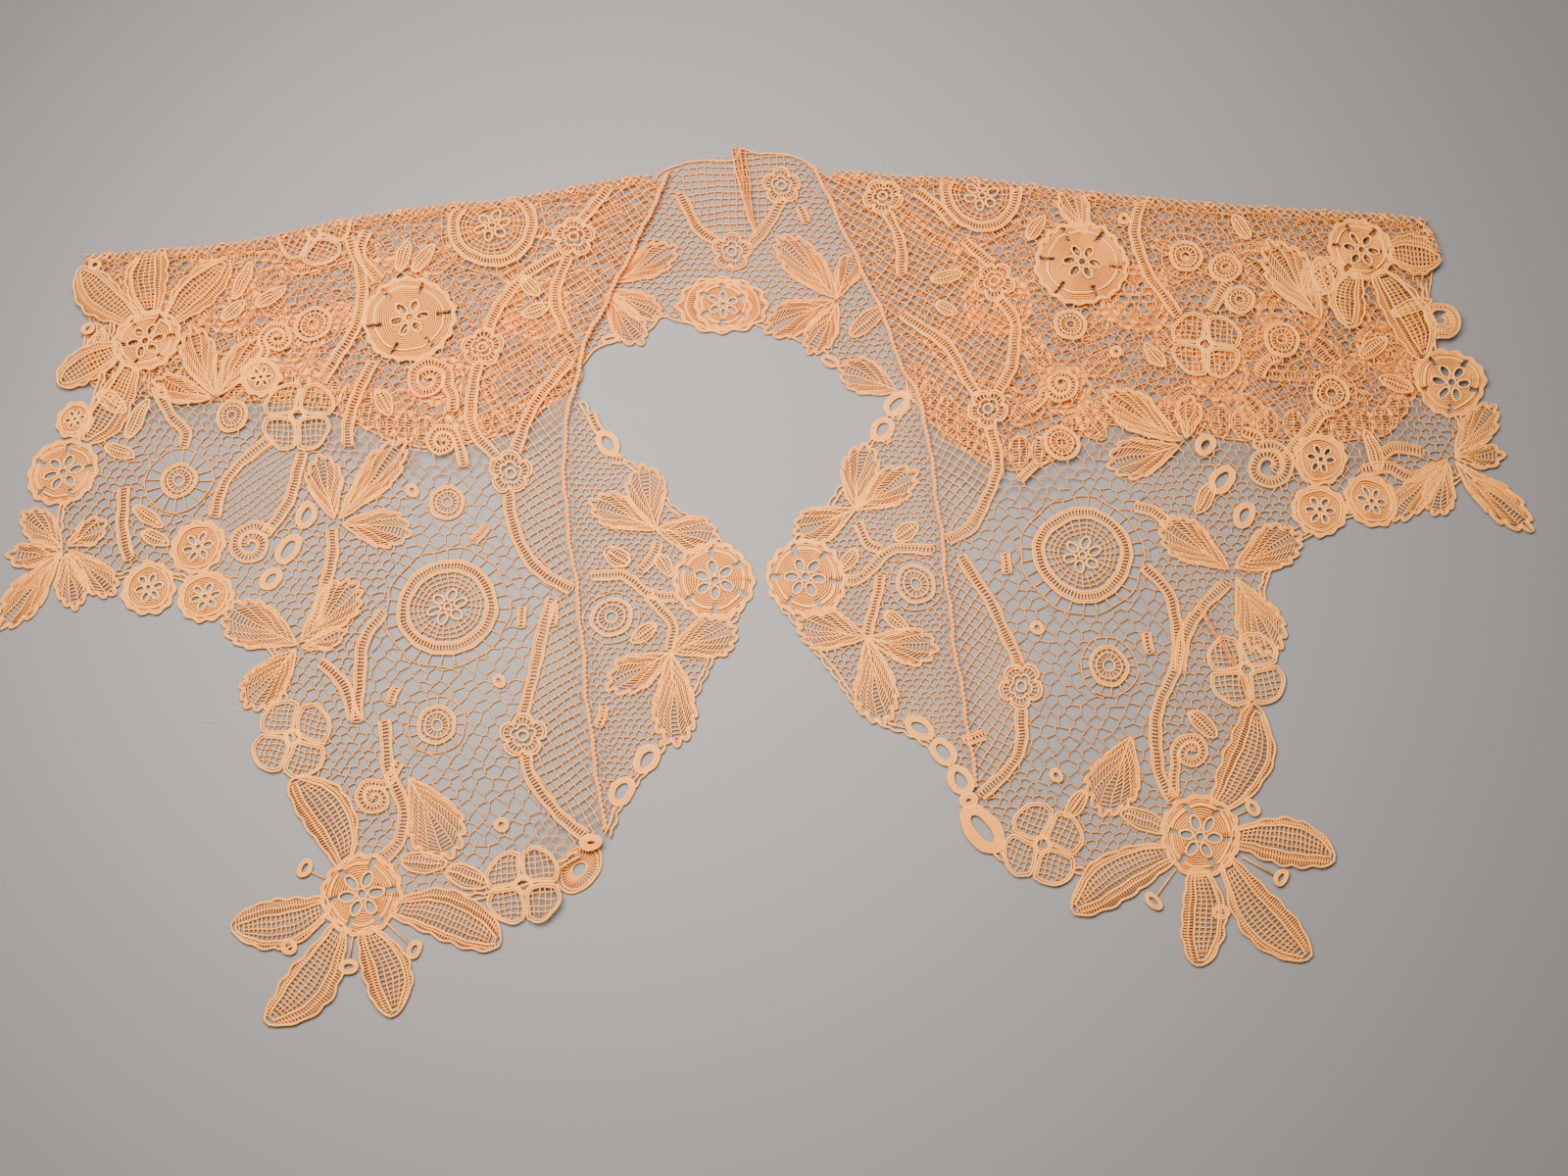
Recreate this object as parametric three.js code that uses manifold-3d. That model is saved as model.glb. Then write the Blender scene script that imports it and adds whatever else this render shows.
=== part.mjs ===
// A lace bertha collar, opened out and laid flat. Millimetres, +Z up. X runs across the collar, Y from the
// points of the fronts to the back neck. The origin is the middle of the collar, on the surface it lies on.
//
// The cape back lies undermost: a neck piece that shows between the fronts, and two wings under them. The
// two fronts are folded over it at the shoulders and reach past its edge, down to the surface. A corded
// seam runs down each front, with a revers between the cord and the open middle.
import * as THREE from 'three';
import { mergeVertices } from 'three/addons/utils/BufferGeometryUtils.js';
import Module from 'manifold-3d';

const wasm = await Module();
wasm.setup();

// ---- driving dimensions ----
const CLOTH = 1.2; // thickness of one layer of lace
const RELIEF = 0.5; // how far the close-worked flowers and leaves stand above the net
const GAP = 0.3; // clearance between neighbouring pieces
const UPPER = CLOTH + RELIEF + GAP; // underside of what lies on the back
const CORD_RADIUS = 1.5; // neck cord
const FOLD_WIDTH = 3; // rounded fold at the shoulders
const FOLD_HEIGHT = UPPER + CLOTH;
const TAPE_HALF = 2.4; // half the width of a worked tape
const SEAM_STEPS = 20; // straight stretches in a cord or fold
const BAR_SIDES = 8; // flat sides of a cord, fold, crease or pleat
const EYELET = 2.2; // radius of the open eye in an open-eyed flower
const HELD = 24; // how far past the back's edge a front is still held up
const SLOPE = 14; // and how far it then takes to come down to the surface
const CORD_DROP = [10, 26]; // the same for a neck cord: where it starts and ends coming down

// How the ground between the motifs is opened: the larger meshes of the net, one opening for each.
const MESH = { pitch: 8.7, radius: 3.1, bar: 2.2 };
// The gaps in a wheel of more than `least` radius: how many, how large, and how far out as a share of it.
const WHEEL_GAPS = { least: 12, count: 6, radius: 2.4, out: 0.6 };

// The lobe of the turned-under corner lies slantwise. The front is held up over it, within `reach`.
const CORNER = { x: -66, y: -117, long: 8, wide: 4, reach: 20 };
// Small folds that stand up from the cloth: their run, half their width and half their height.
const CREASE = { run: [[157, -26, 1.4], [165, -42, 1.5], [171, -60, 1.4]], half: 2.4, height: 1.2 };
const PLEAT = { run: [[-13, 164, 1.8], [-12, 150, 1.9], [-11, 136, 1.6]], half: 3.4, height: 1.4 };
const FOLD_STEPS = 6; // straight stretches in a crease or pleat
const COLORS = { back: 0xd39c78, front: 0xe0b08a, revers: 0xe3b892, cord: 0xcf9670, fold: 0xc98a5f };

// ---- seams and folds, drawn from the back neck outwards ----
const LEFT_CORD = smooth([
  [-41, 154], [-51, 128], [-61, 104], [-71, 81], [-75, 61], [-78, 41], [-76, 12], [-70, -24], [-65, -63],
  [-59, -97], [-58, -104],
]);
const RIGHT_CORD = smooth([
  [17, 157], [32, 119], [45, 86], [50, 69], [57, 54], [62, 16], [66, -33], [71, -75], [72, -89],
]);
const LEFT_FOLD = smooth([
  [-48, 154], [-71, 150], [-104, 143], [-132, 140], [-168, 134], [-208, 124], [-246, 120], [-270, 118],
]);
const RIGHT_FOLD = smooth([
  [24, 156], [54, 153], [81, 152], [126, 146], [185, 140], [251, 135], [259, 130], [263, 118],
]);

// The back's lower edge where the fronts hide it.
const LEFT_HEM = [
  [-262, 76], [-256, 61], [-211, 57], [-182, 57], [-157, 48], [-142, 40], [-127, 38], [-102, 43], [-87, 53],
  [-74, 66],
];
const RIGHT_HEM = [
  [53, 60], [63, 46], [79, 33], [98, 29], [113, 38], [124, 47], [183, 41], [228, 42], [240, 53], [250, 74],
];

// ---- flowers and leaves ----
// Close-worked discs: centre x, y and radius.
// Petals and leaflets: root x, y, tip x, y and greatest width.
// Open-eyed flowers: centre x, y and radius. Wheels: centre x, y, outer radius.
const LEFT_FRONT = {
  discs: [
    [-240, 81, 12.5], [-266, 28, 12.9], [-212, -1, 9.8], [-228, -17, 9.7], [-207, -20, 9.7],
    [-140, 90, 17.5], [-141, -126, 13.5], [-78, 125, 7.8], [-111, 78, 7.6], [-98, 28, 7.7], [-88, -71, 7.7],
  ],
  petals: [
    [-240, 81, -269, 108, 12], [-240, 81, -244, 118, 12], [-240, 81, -215, 113, 12],
    [-240, 81, -270, 62, 12], [-240, 81, -258, 42, 11],
    [-141, -126, -167, -88, 14], [-141, -126, -182, -136, 14], [-141, -126, -168, -167, 14],
    [-141, -126, -126, -163, 14], [-141, -126, -94, -141, 14],
    [-261, -3, -276, 14, 9], [-261, -3, -279, -1, 9], [-261, -3, -281, -31, 11], [-261, -3, -258, -25, 10],
    [-261, -3, -240, -22, 11], [-261, -3, -247, 8, 9],
    [-161, 9, -170, 34, 10], [-161, 9, -148, 36, 10], [-161, 9, -135, 18, 10], [-161, 9, -137, 4, 10],
    [-171, -38, -198, -26, 12], [-171, -38, -150, -17, 12], [-171, -38, -154, -34, 11],
    [-171, -38, -187, -60, 13], [-171, -38, -186, -40, 11],
    [-216, 60, -234, 64, 10], [-216, 60, -226, 84, 12], [-216, 60, -208, 87, 12], [-216, 60, -197, 79, 11],
    [-125, -88, -108, -108, 15],
  ],
  flowers: [[-179, 50, 14], [-180, 122, 12], [-170, -72, 14.5], [-85, -123, 14.2]],
  wheels: [[-118, -24, 17.9], [-110, 120, 16], [-204, 50, 6], [-222, 25, 9], [-177, 88, 6.8],
    [-121, 16, 6.6], [-119, -67, 7]],
  tapes: [
    [[-82, 115], [-102, 104], [-111, 78], [-114, 56], [-98, 28], [-94, 2], [-82, -13], [-72, -18]],
    [[-76, 72], [-89, 56], [-96, 36]],
    [[-79, -21], [-87, -59], [-88, -71], [-74, -98], [-64, -107]],
    [[-166, 117], [-159, 91], [-172, 64]],
    [[-189, 40], [-203, 27], [-207, 10]],
    [[-177, 36], [-179, 19], [-186, 5]],
    [[-173, 12], [-177, -2], [-182, -16]],
    [[-141, -30], [-147, -37], [-148, -65], [-136, -78], [-129, -96], [-132, -112]],
    [[-227, 60], [-220, 45], [-221, 36]],
  ],
  outline: [
    [-66, -113], [-76, -122], [-100, -130], [-118, -134], [-146, -132], [-158, -112], [-162, -96],
    [-166, -86], [-180, -78], [-183, -60], [-182, -44], [-190, -30], [-196, -20], [-206, -16], [-228, -12],
    [-242, -14], [-262, -14], [-272, -14], [-270, 0], [-268, 14], [-264, 30], [-270, 46], [-268, 62],
    [-265, 84], [-268, 104],
  ],
};
const RIGHT_FRONT = {
  discs: [
    [231, 120, 12.8], [121, 114, 17.7], [259, 64, 13.1], [206, 33, 10], [204, 13, 9.9], [224, 17, 9.9],
    [150, -106, 13.7], [44, 143, 7.4], [87, 106, 7.7], [82, 53, 7.5], [90, -53, 7.8],
  ],
  petals: [
    [231, 120, 258, 118, 12], [231, 120, 248, 76, 13], [231, 120, 212, 104, 12], [231, 120, 226, 92, 11],
    [150, -106, 173, -62, 13], [150, -106, 195, -112, 13], [150, -106, 182, -146, 14],
    [150, -106, 148, -148, 12], [150, -106, 106, -129, 14], [150, -106, 129, -99, 9],
    [204, 107, 196, 122, 13], [204, 107, 216, 90, 12], [122, -81, 118, -97, 12], [122, -81, 108, -88, 8],
    [170, -11, 146, 8, 12], [170, -11, 195, 3, 13], [170, -11, 181, -42, 12], [170, -11, 188, -18, 11],
    [154, 39, 129, 33, 12], [154, 39, 127, 58, 12], [154, 39, 150, 60, 11], [154, 39, 160, 56, 9],
    [256, 34, 274, 53, 10], [256, 34, 273, 35, 10], [256, 34, 281, 7, 12], [256, 34, 257, 15, 9],
    [256, 34, 234, 10, 11], [73, -105, 66, -96, 9], [73, -105, 82, -114, 9],
  ],
  flowers: [[167, 79, 14.4], [171, -47, 14], [95, -109, 14.4]],
  wheels: [[115, -4, 18.1], [83, 136, 14], [122, -46, 7.1], [196, 81, 6.8], [213, 59, 6.7], [109, 39, 6.7],
    [162, 117, 6.2], [177, 112, 6], [185, 29, 9], [259, 90, 7]],
  tapes: [
    [[57, 146], [71, 133], [87, 106], [94, 88], [93, 71], [82, 53], [83, 27], [75, 8], [65, 1]],
    [[50, 92], [67, 79], [82, 53]],
    [[71, -5], [80, -20], [88, -41], [90, -53], [86, -79], [74, -92]],
    [[146, 141], [145, 117], [157, 92]],
    [[163, 38], [169, 25], [176, 11]],
    [[138, -9], [145, -18], [147, -45], [139, -60], [137, -83], [142, -96]],
    [[167, -15], [152, -31], [146, -48]],
    [[136, 15], [148, 8]],
  ],
  outline: [
    [70, -93], [66, -104], [78, -116], [94, -122], [108, -126], [126, -124], [146, -118], [160, -100],
    [168, -86], [170, -64], [178, -56], [182, -40], [184, -28], [184, -12], [192, 2], [206, 4], [220, 9],
    [236, 10], [250, 16], [266, 16], [271, 30], [268, 50], [264, 64], [263, 90], [261, 106],
  ],
};
const LEFT_REVERS = {
  discs: [[-21, -14, 14.4]],
  petals: [
    [-43, 5, -47, 31, 11], [-43, 5, -65, 17, 11], [-43, 5, -20, 3, 11], [-43, 5, -35, 18, 10],
    [-36, -41, -13, -29, 11], [-36, -41, -58, -54, 10], [-36, -41, -37, -74, 11], [-36, -41, -24, -53, 11],
  ],
  flowers: [],
  wheels: [[-58, -28, 7.2]],
  tapes: [[[-62, -12], [-47, -11], [-33, -20]], [[-65, 44], [-58, 34]]],
  outline: [
    [-70, 56], [-67, 45], [-57, 36], [-45, 31], [-39, 21], [-32, 13], [-20, 2], [-10, -3], [-7, -13],
    [-9, -22], [-13, -30], [-15, -40], [-22, -49], [-26, -57], [-30, -66], [-37, -77], [-47, -86],
    [-52, -98], [-56, -106],
  ],
};
const RIGHT_REVERS = {
  discs: [[13, -13, 14.4]],
  petals: [
    [31, 12, 35, 38, 11], [31, 12, 53, 28, 11], [31, 12, 11, 4, 11], [31, 12, 20, 22, 10],
    [35, -36, 11, -28, 11], [35, -36, 58, -40, 10], [35, -36, 41, -64, 11], [35, -36, 24, -50, 11],
  ],
  flowers: [],
  wheels: [[53, -15, 7.2]],
  tapes: [[[58, -2], [46, -2], [33, -14]], [[47, 52], [43, 44]]],
  outline: [
    [44, 56], [40, 49], [36, 40], [29, 33], [23, 25], [17, 17], [9, 11], [7, 3], [2, -3], [-1, -13],
    [1, -21], [5, -28], [12, -38], [24, -50], [33, -60], [42, -68], [55, -73], [61, -81], [69, -92],
  ],
};
const BACK = {
  discs: [[-24, 97, 11.5], [-14, 97, 11.5], [-16, 120, 7.3], [4, 149, 7.5]],
  petals: [
    [-61, 107, -36, 122, 12], [-61, 107, -44, 90, 12], [-61, 107, -47, 81, 11],
    [26, 99, 3, 124, 12], [26, 99, 0, 86, 12], [26, 99, 14, 78, 11], [26, 99, 32, 117, 10],
  ],
  flowers: [],
  wheels: [[-64, 85, 5], [36, 68, 7]],
  tapes: [[[-37, 148], [-30, 132], [-16, 120], [-6, 122], [1, 138], [4, 149]]],
  neckEdge: [
    [-70, 74], [-66, 80], [-56, 81], [-46, 82], [-42, 92], [-34, 87], [-18, 85], [-7, 86], [1, 82],
    [10, 79], [20, 76], [27, 71], [30, 62], [38, 59],
  ],
  neckTop: [[-44, 156], [-33, 160], [-15, 162], [-13, 167.6], [-5, 165], [6, 164], [14, 160]],
};
// How far past the cords the neck piece of the back reaches under the fronts.
const UNDER_FRONT = 9;

// ---- plane geometry ----

// A soft curve through the given points.
function smooth(points) {
  const curve = new THREE.CatmullRomCurve3(points.map(([x, y]) => new THREE.Vector3(x, y, 0)));
  return curve.getSpacedPoints(SEAM_STEPS).map((p) => [p.x, p.y]);
}

// The strip that a line covers, from `left` to `right` of its run.
const strip = (line, left, right) => [...offsetLine(line, left), ...offsetLine(line, right).reverse()];

// A line moved sideways by `distance`, to the left of its run.
function offsetLine(points, distance) {
  return points.map(([x, y], i) => {
    const [ax, ay] = points[Math.max(i - 1, 0)];
    const [bx, by] = points[Math.min(i + 1, points.length - 1)];
    const length = Math.hypot(bx - ax, by - ay);
    return [x - ((by - ay) / length) * distance, y + ((bx - ax) / length) * distance];
  });
}

// Height of a left-to-right line at x, held level past its ends.
function lineAt(points, x) {
  const last = points.length - 1;
  if (x <= points[0][0]) return points[0][1];
  for (let i = 0; i < last; i++) {
    const [ax, ay] = points[i];
    const [bx, by] = points[i + 1];
    if (x <= bx) return ay + ((by - ay) * (x - ax)) / (bx - ax);
  }
  return points[last][1];
}

function distanceToLine(x, y, points) {
  let nearest = Infinity;
  for (let i = 0; i + 1 < points.length; i++) {
    const [ax, ay] = points[i];
    const [dx, dy] = [points[i + 1][0] - ax, points[i + 1][1] - ay];
    const along = THREE.MathUtils.clamp(((x - ax) * dx + (y - ay) * dy) / (dx * dx + dy * dy), 0, 1);
    nearest = Math.min(nearest, Math.hypot(x - ax - along * dx, y - ay - along * dy));
  }
  return nearest;
}

function inside(x, y, outline) {
  let odd = false;
  outline.forEach(([ax, ay], i) => {
    const [bx, by] = outline[(i + 1) % outline.length];
    if (ay > y !== by > y && x < ((bx - ax) * (y - ay)) / (by - ay) + ax) odd = !odd;
  });
  return odd;
}

// A round or lobed figure: `lobes` bulges of depth `wave` on a circle.
function round(x, y, radius, steps, wave = 0, lobes = 0) {
  return Array.from({ length: steps }, (_, i) => {
    const angle = (2 * Math.PI * (i + 0.5)) / steps;
    const r = radius + wave * Math.cos(lobes * angle);
    return [x + r * Math.cos(angle), y + r * Math.sin(angle)];
  });
}

// A petal from its root to a rounded tip, widest past the middle.
function petal([rootX, rootY, tipX, tipY, width]) {
  const length = Math.hypot(tipX - rootX, tipY - rootY);
  const [ux, uy] = [(tipX - rootX) / length, (tipY - rootY) / length];
  const profile = [[0.1, 0.35], [0.42, 0.9], [0.8, 0.9], [1, 0.3]]; // how far along, share of the width
  const side = (sign) => profile.map(([t, w]) => {
    const half = (sign * w * width) / 2;
    return [rootX + ux * length * t - uy * half, rootY + uy * length * t + ux * half];
  });
  return [...side(-1), ...side(1).reverse()];
}

// ---- solids ----

function solidOf(geometry) {
  geometry.deleteAttribute('normal');
  geometry.deleteAttribute('uv');
  const merged = mergeVertices(geometry, 1e-4);
  return new wasm.Manifold(new wasm.Mesh({
    numProp: 3,
    vertProperties: merged.attributes.position.array,
    triVerts: new Uint32Array(merged.index.array),
  }));
}

// An upright block of the given outline, far taller than the cloth is thick, for cutting it out.
function block(outline) {
  const shape = new THREE.Shape(outline.map(([x, y]) => new THREE.Vector2(x, y)));
  const depth = 30;
  const geometry = new THREE.ExtrudeGeometry(shape, { depth, bevelEnabled: false });
  return solidOf(geometry.translate(0, 0, -depth / 2));
}

const joined = (outlines) => outlines.map(block).reduce((all, one) => all.add(one));

// A sheet of cloth over the box of an outline, following `underside`, `thickness` thick.
function sheet(outline, underside, thickness, step = 18) {
  const xs = outline.map(([x]) => x);
  const ys = outline.map(([, y]) => y);
  const [west, south] = [Math.min(...xs) - 2 * step, Math.min(...ys) - 2 * step];
  const columns = Math.ceil((Math.max(...xs) + 2 * step - west) / step);
  const rows = Math.ceil((Math.max(...ys) + 2 * step - south) / step);
  const geometry = new THREE.BoxGeometry(columns * step, rows * step, 1, columns, rows, 1);
  geometry.translate(west + (columns * step) / 2, south + (rows * step) / 2, 0);
  const at = geometry.attributes.position;
  for (let i = 0; i < at.count; i++) {
    const floor = underside(at.getX(i), at.getY(i));
    at.setZ(i, at.getZ(i) > 0 ? floor + thickness : floor);
  }
  return solidOf(geometry);
}

// A bar of the given section along a path of [x, y, z] points.
function bar(points, halfWidth, halfHeight, steps) {
  const path = new THREE.CatmullRomCurve3(points.map((p) => new THREE.Vector3(...p)));
  const section = new THREE.Shape(
    Array.from({ length: BAR_SIDES }, (_, i) => {
      const angle = (2 * Math.PI * (i + 0.5)) / BAR_SIDES;
      const reach = 1 / Math.cos(Math.PI / BAR_SIDES);
      return new THREE.Vector2(halfHeight * reach * Math.cos(angle), halfWidth * reach * Math.sin(angle));
    }),
  );
  return solidOf(new THREE.ExtrudeGeometry(section, { steps, extrudePath: path, bevelEnabled: false }));
}

const figures = (panel) => [
  ...panel.discs.map(([x, y, r]) => round(x, y, r, 14)),
  ...panel.petals.map(petal),
  ...panel.flowers.map(([x, y, r]) => round(x, y, 0.86 * r, 16, 0.14 * r, 4)),
];

// Openings of the net: a slanted lattice, kept where no motif, tape or edge is near.
function openings(panel, outline, shows) {
  const { pitch, radius, bar: margin } = MESH;
  const clear = radius + margin / 2;
  const petalsAway = (x, y) => panel.petals.every(([ax, ay, bx, by, width]) =>
    distanceToLine(x, y, [[ax, ay], [bx, by]]) > 0.46 * width + clear - 1);
  const rounds = [...panel.discs, ...panel.flowers, ...panel.wheels];
  const roundsAway = (x, y) => rounds.every(([cx, cy, r]) => Math.hypot(x - cx, y - cy) > r + clear);
  const found = panel.flowers.map(([x, y]) => round(x, y, EYELET, 6));
  const edge = [...outline, outline[0]];
  const xs = outline.map(([x]) => x);
  const ys = outline.map(([, y]) => y);
  let row = 0;
  for (let y = Math.min(...ys); y < Math.max(...ys); y += pitch * 0.9, row++) {
    for (let x = Math.min(...xs) + (row % 2) * pitch / 2; x < Math.max(...xs); x += pitch) {
      const free = shows(x, y) && inside(x, y, outline) && distanceToLine(x, y, edge) > clear
        && panel.tapes.every((tape) => distanceToLine(x, y, tape) > TAPE_HALF + radius)
        && roundsAway(x, y) && petalsAway(x, y);
      if (free) found.push(round(x, y, radius * (1 + 0.12 * Math.sin(3 * x + 5 * y)), 5));
    }
  }
  // The open spaces in a wheel, between its inner flower and its ring.
  panel.wheels.filter(([, , r]) => r > WHEEL_GAPS.least).forEach(([x, y, r]) => {
    for (let i = 0; i < WHEEL_GAPS.count; i++) {
      const angle = (2 * Math.PI * i) / WHEEL_GAPS.count;
      const out = WHEEL_GAPS.out * r;
      found.push(round(x + out * Math.cos(angle), y + out * Math.sin(angle), WHEEL_GAPS.radius, 5));
    }
  });
  return found;
}

// A panel: its net and its raised motifs, on one underside, with the openings cut.
function panelSolid(panel, outline, underside, shows = () => true) {
  const reach = [...outline, ...figures(panel).flat()];
  const motifs = joined(figures(panel));
  const net = block(outline).add(motifs).intersect(sheet(reach, underside, CLOTH));
  const raised = motifs.intersect(sheet(reach, underside, CLOTH + RELIEF));
  const cuts = openings(panel, outline, shows);
  return net.add(raised).subtract(joined(cuts));
}

// ---- the pieces ----
const beside = CORD_RADIUS + GAP;
const past = FOLD_WIDTH + GAP;

// A front is one layer up over the back and the turned corner, and comes down to the surface beyond them.
function frontUnderside(hem) {
  return (x, y) => {
    const pastHem = lineAt(hem, x) - y - HELD;
    const pastCorner = Math.hypot(x - CORNER.x, y - CORNER.y) - CORNER.reach;
    return UPPER * THREE.MathUtils.clamp(1 - Math.min(pastHem, pastCorner) / SLOPE, 0, 1);
  };
}

// Where a front lies on the surface alone. Over the back its net is fine and stays closed.
const singleLayer = (hem) => (x, y) => y < lineAt(hem, x) - MESH.radius;

function leftFront() {
  const neck = offsetLine(LEFT_CORD, -beside);
  const top = offsetLine(LEFT_FOLD, past).reverse();
  const outline = [...top, ...neck, ...LEFT_FRONT.outline];
  return panelSolid(LEFT_FRONT, outline, frontUnderside(LEFT_HEM), singleLayer(LEFT_HEM))
    .subtract(block(strip(LEFT_CORD, -beside, beside)))
    .subtract(block(strip(LEFT_FOLD, past, -past)));
}

function rightFront() {
  const neck = offsetLine(RIGHT_CORD, beside);
  const top = offsetLine(RIGHT_FOLD, -past).reverse();
  const outline = [...top, ...neck, ...RIGHT_FRONT.outline];
  const crease = bar(CREASE.run, CREASE.half, CREASE.height, FOLD_STEPS);
  return panelSolid(RIGHT_FRONT, outline, frontUnderside(RIGHT_HEM), singleLayer(RIGHT_HEM))
    .add(crease)
    .subtract(block(strip(RIGHT_CORD, -beside, beside)))
    .subtract(block(strip(RIGHT_FOLD, past, -past)));
}

const flat = () => 0;

function leftRevers() {
  const seam = offsetLine(LEFT_CORD.filter(([, y]) => y < 62), beside).reverse();
  return panelSolid(LEFT_REVERS, [...seam, ...LEFT_REVERS.outline], flat)
    .subtract(block(strip(LEFT_CORD, -beside, beside)));
}

function rightRevers() {
  const seam = offsetLine(RIGHT_CORD.filter(([, y]) => y < 58), -beside).reverse();
  return panelSolid(RIGHT_REVERS, [...seam, ...RIGHT_REVERS.outline], flat)
    .subtract(block(strip(RIGHT_CORD, -beside, beside)));
}

// The whole cape back, with a small pleat standing up at its centre.
function wholeBack() {
  const leftTop = offsetLine(LEFT_FOLD, past).reverse().slice(1);
  const rightTop = offsetLine(RIGHT_FOLD, -past);
  const outline = [...leftTop, ...BACK.neckTop, ...rightTop, ...[...RIGHT_HEM].reverse(),
    ...[...BACK.neckEdge].reverse(), ...[...LEFT_HEM].reverse()];
  const pleat = bar(PLEAT.run, PLEAT.half, PLEAT.height, FOLD_STEPS);
  const betweenCords = (x, y) => inside(x, y, [...LEFT_CORD, ...[...RIGHT_CORD].reverse()])
    && distanceToLine(x, y, LEFT_CORD) > 2 * beside && distanceToLine(x, y, RIGHT_CORD) > 2 * beside;
  return panelSolid(BACK, outline, flat, betweenCords).add(pleat)
    .subtract(block(strip(LEFT_FOLD, past, -past)))
    .subtract(block(strip(RIGHT_FOLD, past, -past)));
}

// The back's neck piece is what lies between two lines just outside the cords. The wings are the rest.
function backPieces() {
  const whole = wholeBack();
  const far = 300; // past the back on every side
  const beyond = (line, side) => block([[line[0][0], far], ...line, [side * far, -far], [side * far, far]]);
  return {
    neck: whole.subtract(beyond(offsetLine(LEFT_CORD, -UNDER_FRONT), -1))
      .subtract(beyond(offsetLine(RIGHT_CORD, UNDER_FRONT), 1)),
    leftWing: whole.intersect(beyond(offsetLine(LEFT_CORD, -UNDER_FRONT - GAP), -1)),
    rightWing: whole.intersect(beyond(offsetLine(RIGHT_CORD, UNDER_FRONT + GAP), 1)),
  };
}

// The neck cord lies on the back down to the edge at `edge`, then on the surface.
function neckCord(line, edge) {
  const [start, end] = CORD_DROP.map((past) => edge - past);
  const points = line.map(([x, y]) =>
    [x, y, CORD_RADIUS + GAP / 4 + UPPER * THREE.MathUtils.smoothstep(y, end, start)]);
  const flatToFlat = CORD_RADIUS * Math.cos(Math.PI / BAR_SIDES);
  return bar(points, flatToFlat, flatToFlat, SEAM_STEPS);
}

function shoulderFold(line, inward) {
  const points = offsetLine(line, (inward * FOLD_WIDTH) / 2).map(([x, y]) => [x, y, FOLD_HEIGHT / 2]);
  return bar(points, FOLD_WIDTH / 2, FOLD_HEIGHT / 2, SEAM_STEPS);
}

// The turned-under corner: one lobe of the border, which peeks out below the front.
function turnedCorner() {
  const lobe = round(0, 0, 1, 14).map(([u, v]) =>
    [CORNER.x + CORNER.long * u - CORNER.wide * v, CORNER.y + CORNER.long * u + CORNER.wide * v]);
  return block(lobe).intersect(sheet(lobe, flat, CLOTH));
}

const lace = (color) => new THREE.MeshStandardMaterial({ color, roughness: 0.9, metalness: 0 });

function meshOf(name, solid, color) {
  const { vertProperties, triVerts } = solid.getMesh();
  const geometry = new THREE.BufferGeometry();
  geometry.setAttribute('position', new THREE.BufferAttribute(new Float32Array(vertProperties), 3));
  geometry.setIndex(new THREE.BufferAttribute(new Uint32Array(triVerts), 1));
  geometry.computeVertexNormals();
  const mesh = new THREE.Mesh(geometry, lace(color));
  mesh.name = name;
  return mesh;
}

const back = backPieces();
const group = new THREE.Group();
group.add(
  meshOf('back_neck', back.neck, COLORS.back),
  meshOf('back_left_wing', back.leftWing, COLORS.back),
  meshOf('back_right_wing', back.rightWing, COLORS.back),
  meshOf('left_front', leftFront(), COLORS.front),
  meshOf('right_front', rightFront(), COLORS.front),
  meshOf('left_revers', leftRevers(), COLORS.revers),
  meshOf('right_revers', rightRevers(), COLORS.revers),
  meshOf('left_neck_cord', neckCord(LEFT_CORD, 66), COLORS.cord),
  meshOf('right_neck_cord', neckCord(RIGHT_CORD, 58), COLORS.cord),
  meshOf('left_shoulder_fold', shoulderFold(LEFT_FOLD, 1), COLORS.fold),
  meshOf('right_shoulder_fold', shoulderFold(RIGHT_FOLD, -1), COLORS.fold),
  meshOf('left_front_corner', turnedCorner(), COLORS.front),
);

export default group;
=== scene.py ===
import math

import bpy
import numpy as np
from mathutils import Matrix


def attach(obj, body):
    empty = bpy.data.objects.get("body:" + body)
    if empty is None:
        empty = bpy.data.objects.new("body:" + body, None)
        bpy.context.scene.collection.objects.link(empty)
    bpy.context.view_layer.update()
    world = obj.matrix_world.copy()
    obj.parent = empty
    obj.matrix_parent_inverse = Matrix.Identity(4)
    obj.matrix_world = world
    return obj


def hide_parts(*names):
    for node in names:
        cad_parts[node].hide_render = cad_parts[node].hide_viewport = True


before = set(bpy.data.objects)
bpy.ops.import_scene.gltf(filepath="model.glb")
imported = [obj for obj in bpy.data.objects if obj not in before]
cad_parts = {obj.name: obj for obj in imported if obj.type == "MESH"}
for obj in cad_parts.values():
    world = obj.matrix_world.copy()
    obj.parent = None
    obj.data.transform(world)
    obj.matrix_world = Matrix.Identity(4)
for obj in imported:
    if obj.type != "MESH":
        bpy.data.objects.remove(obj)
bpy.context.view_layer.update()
MM = 0.001  # the lace is drawn in millimetres, in the CAD's own plane

# Camera: looks down at the laid-out collar from in front of its points, 14.5 degrees off the vertical.
# Its lens takes in the whole collar, with the surface round it.
tilt = math.radians(14.5)
aim = (4.8, -16.5)
camera_height = 446.0
camera_data = bpy.data.cameras.new("camera")
camera_data.lens = 28.8
camera_data.sensor_width = 36
camera = bpy.data.objects.new("camera", camera_data)
camera.location = (aim[0] * MM, (aim[1] - camera_height * math.tan(tilt)) * MM,
                   camera_height * MM)
camera.rotation_euler = (tilt, 0, 0)
bpy.context.scene.collection.objects.link(camera)
bpy.context.scene.camera = camera

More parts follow.
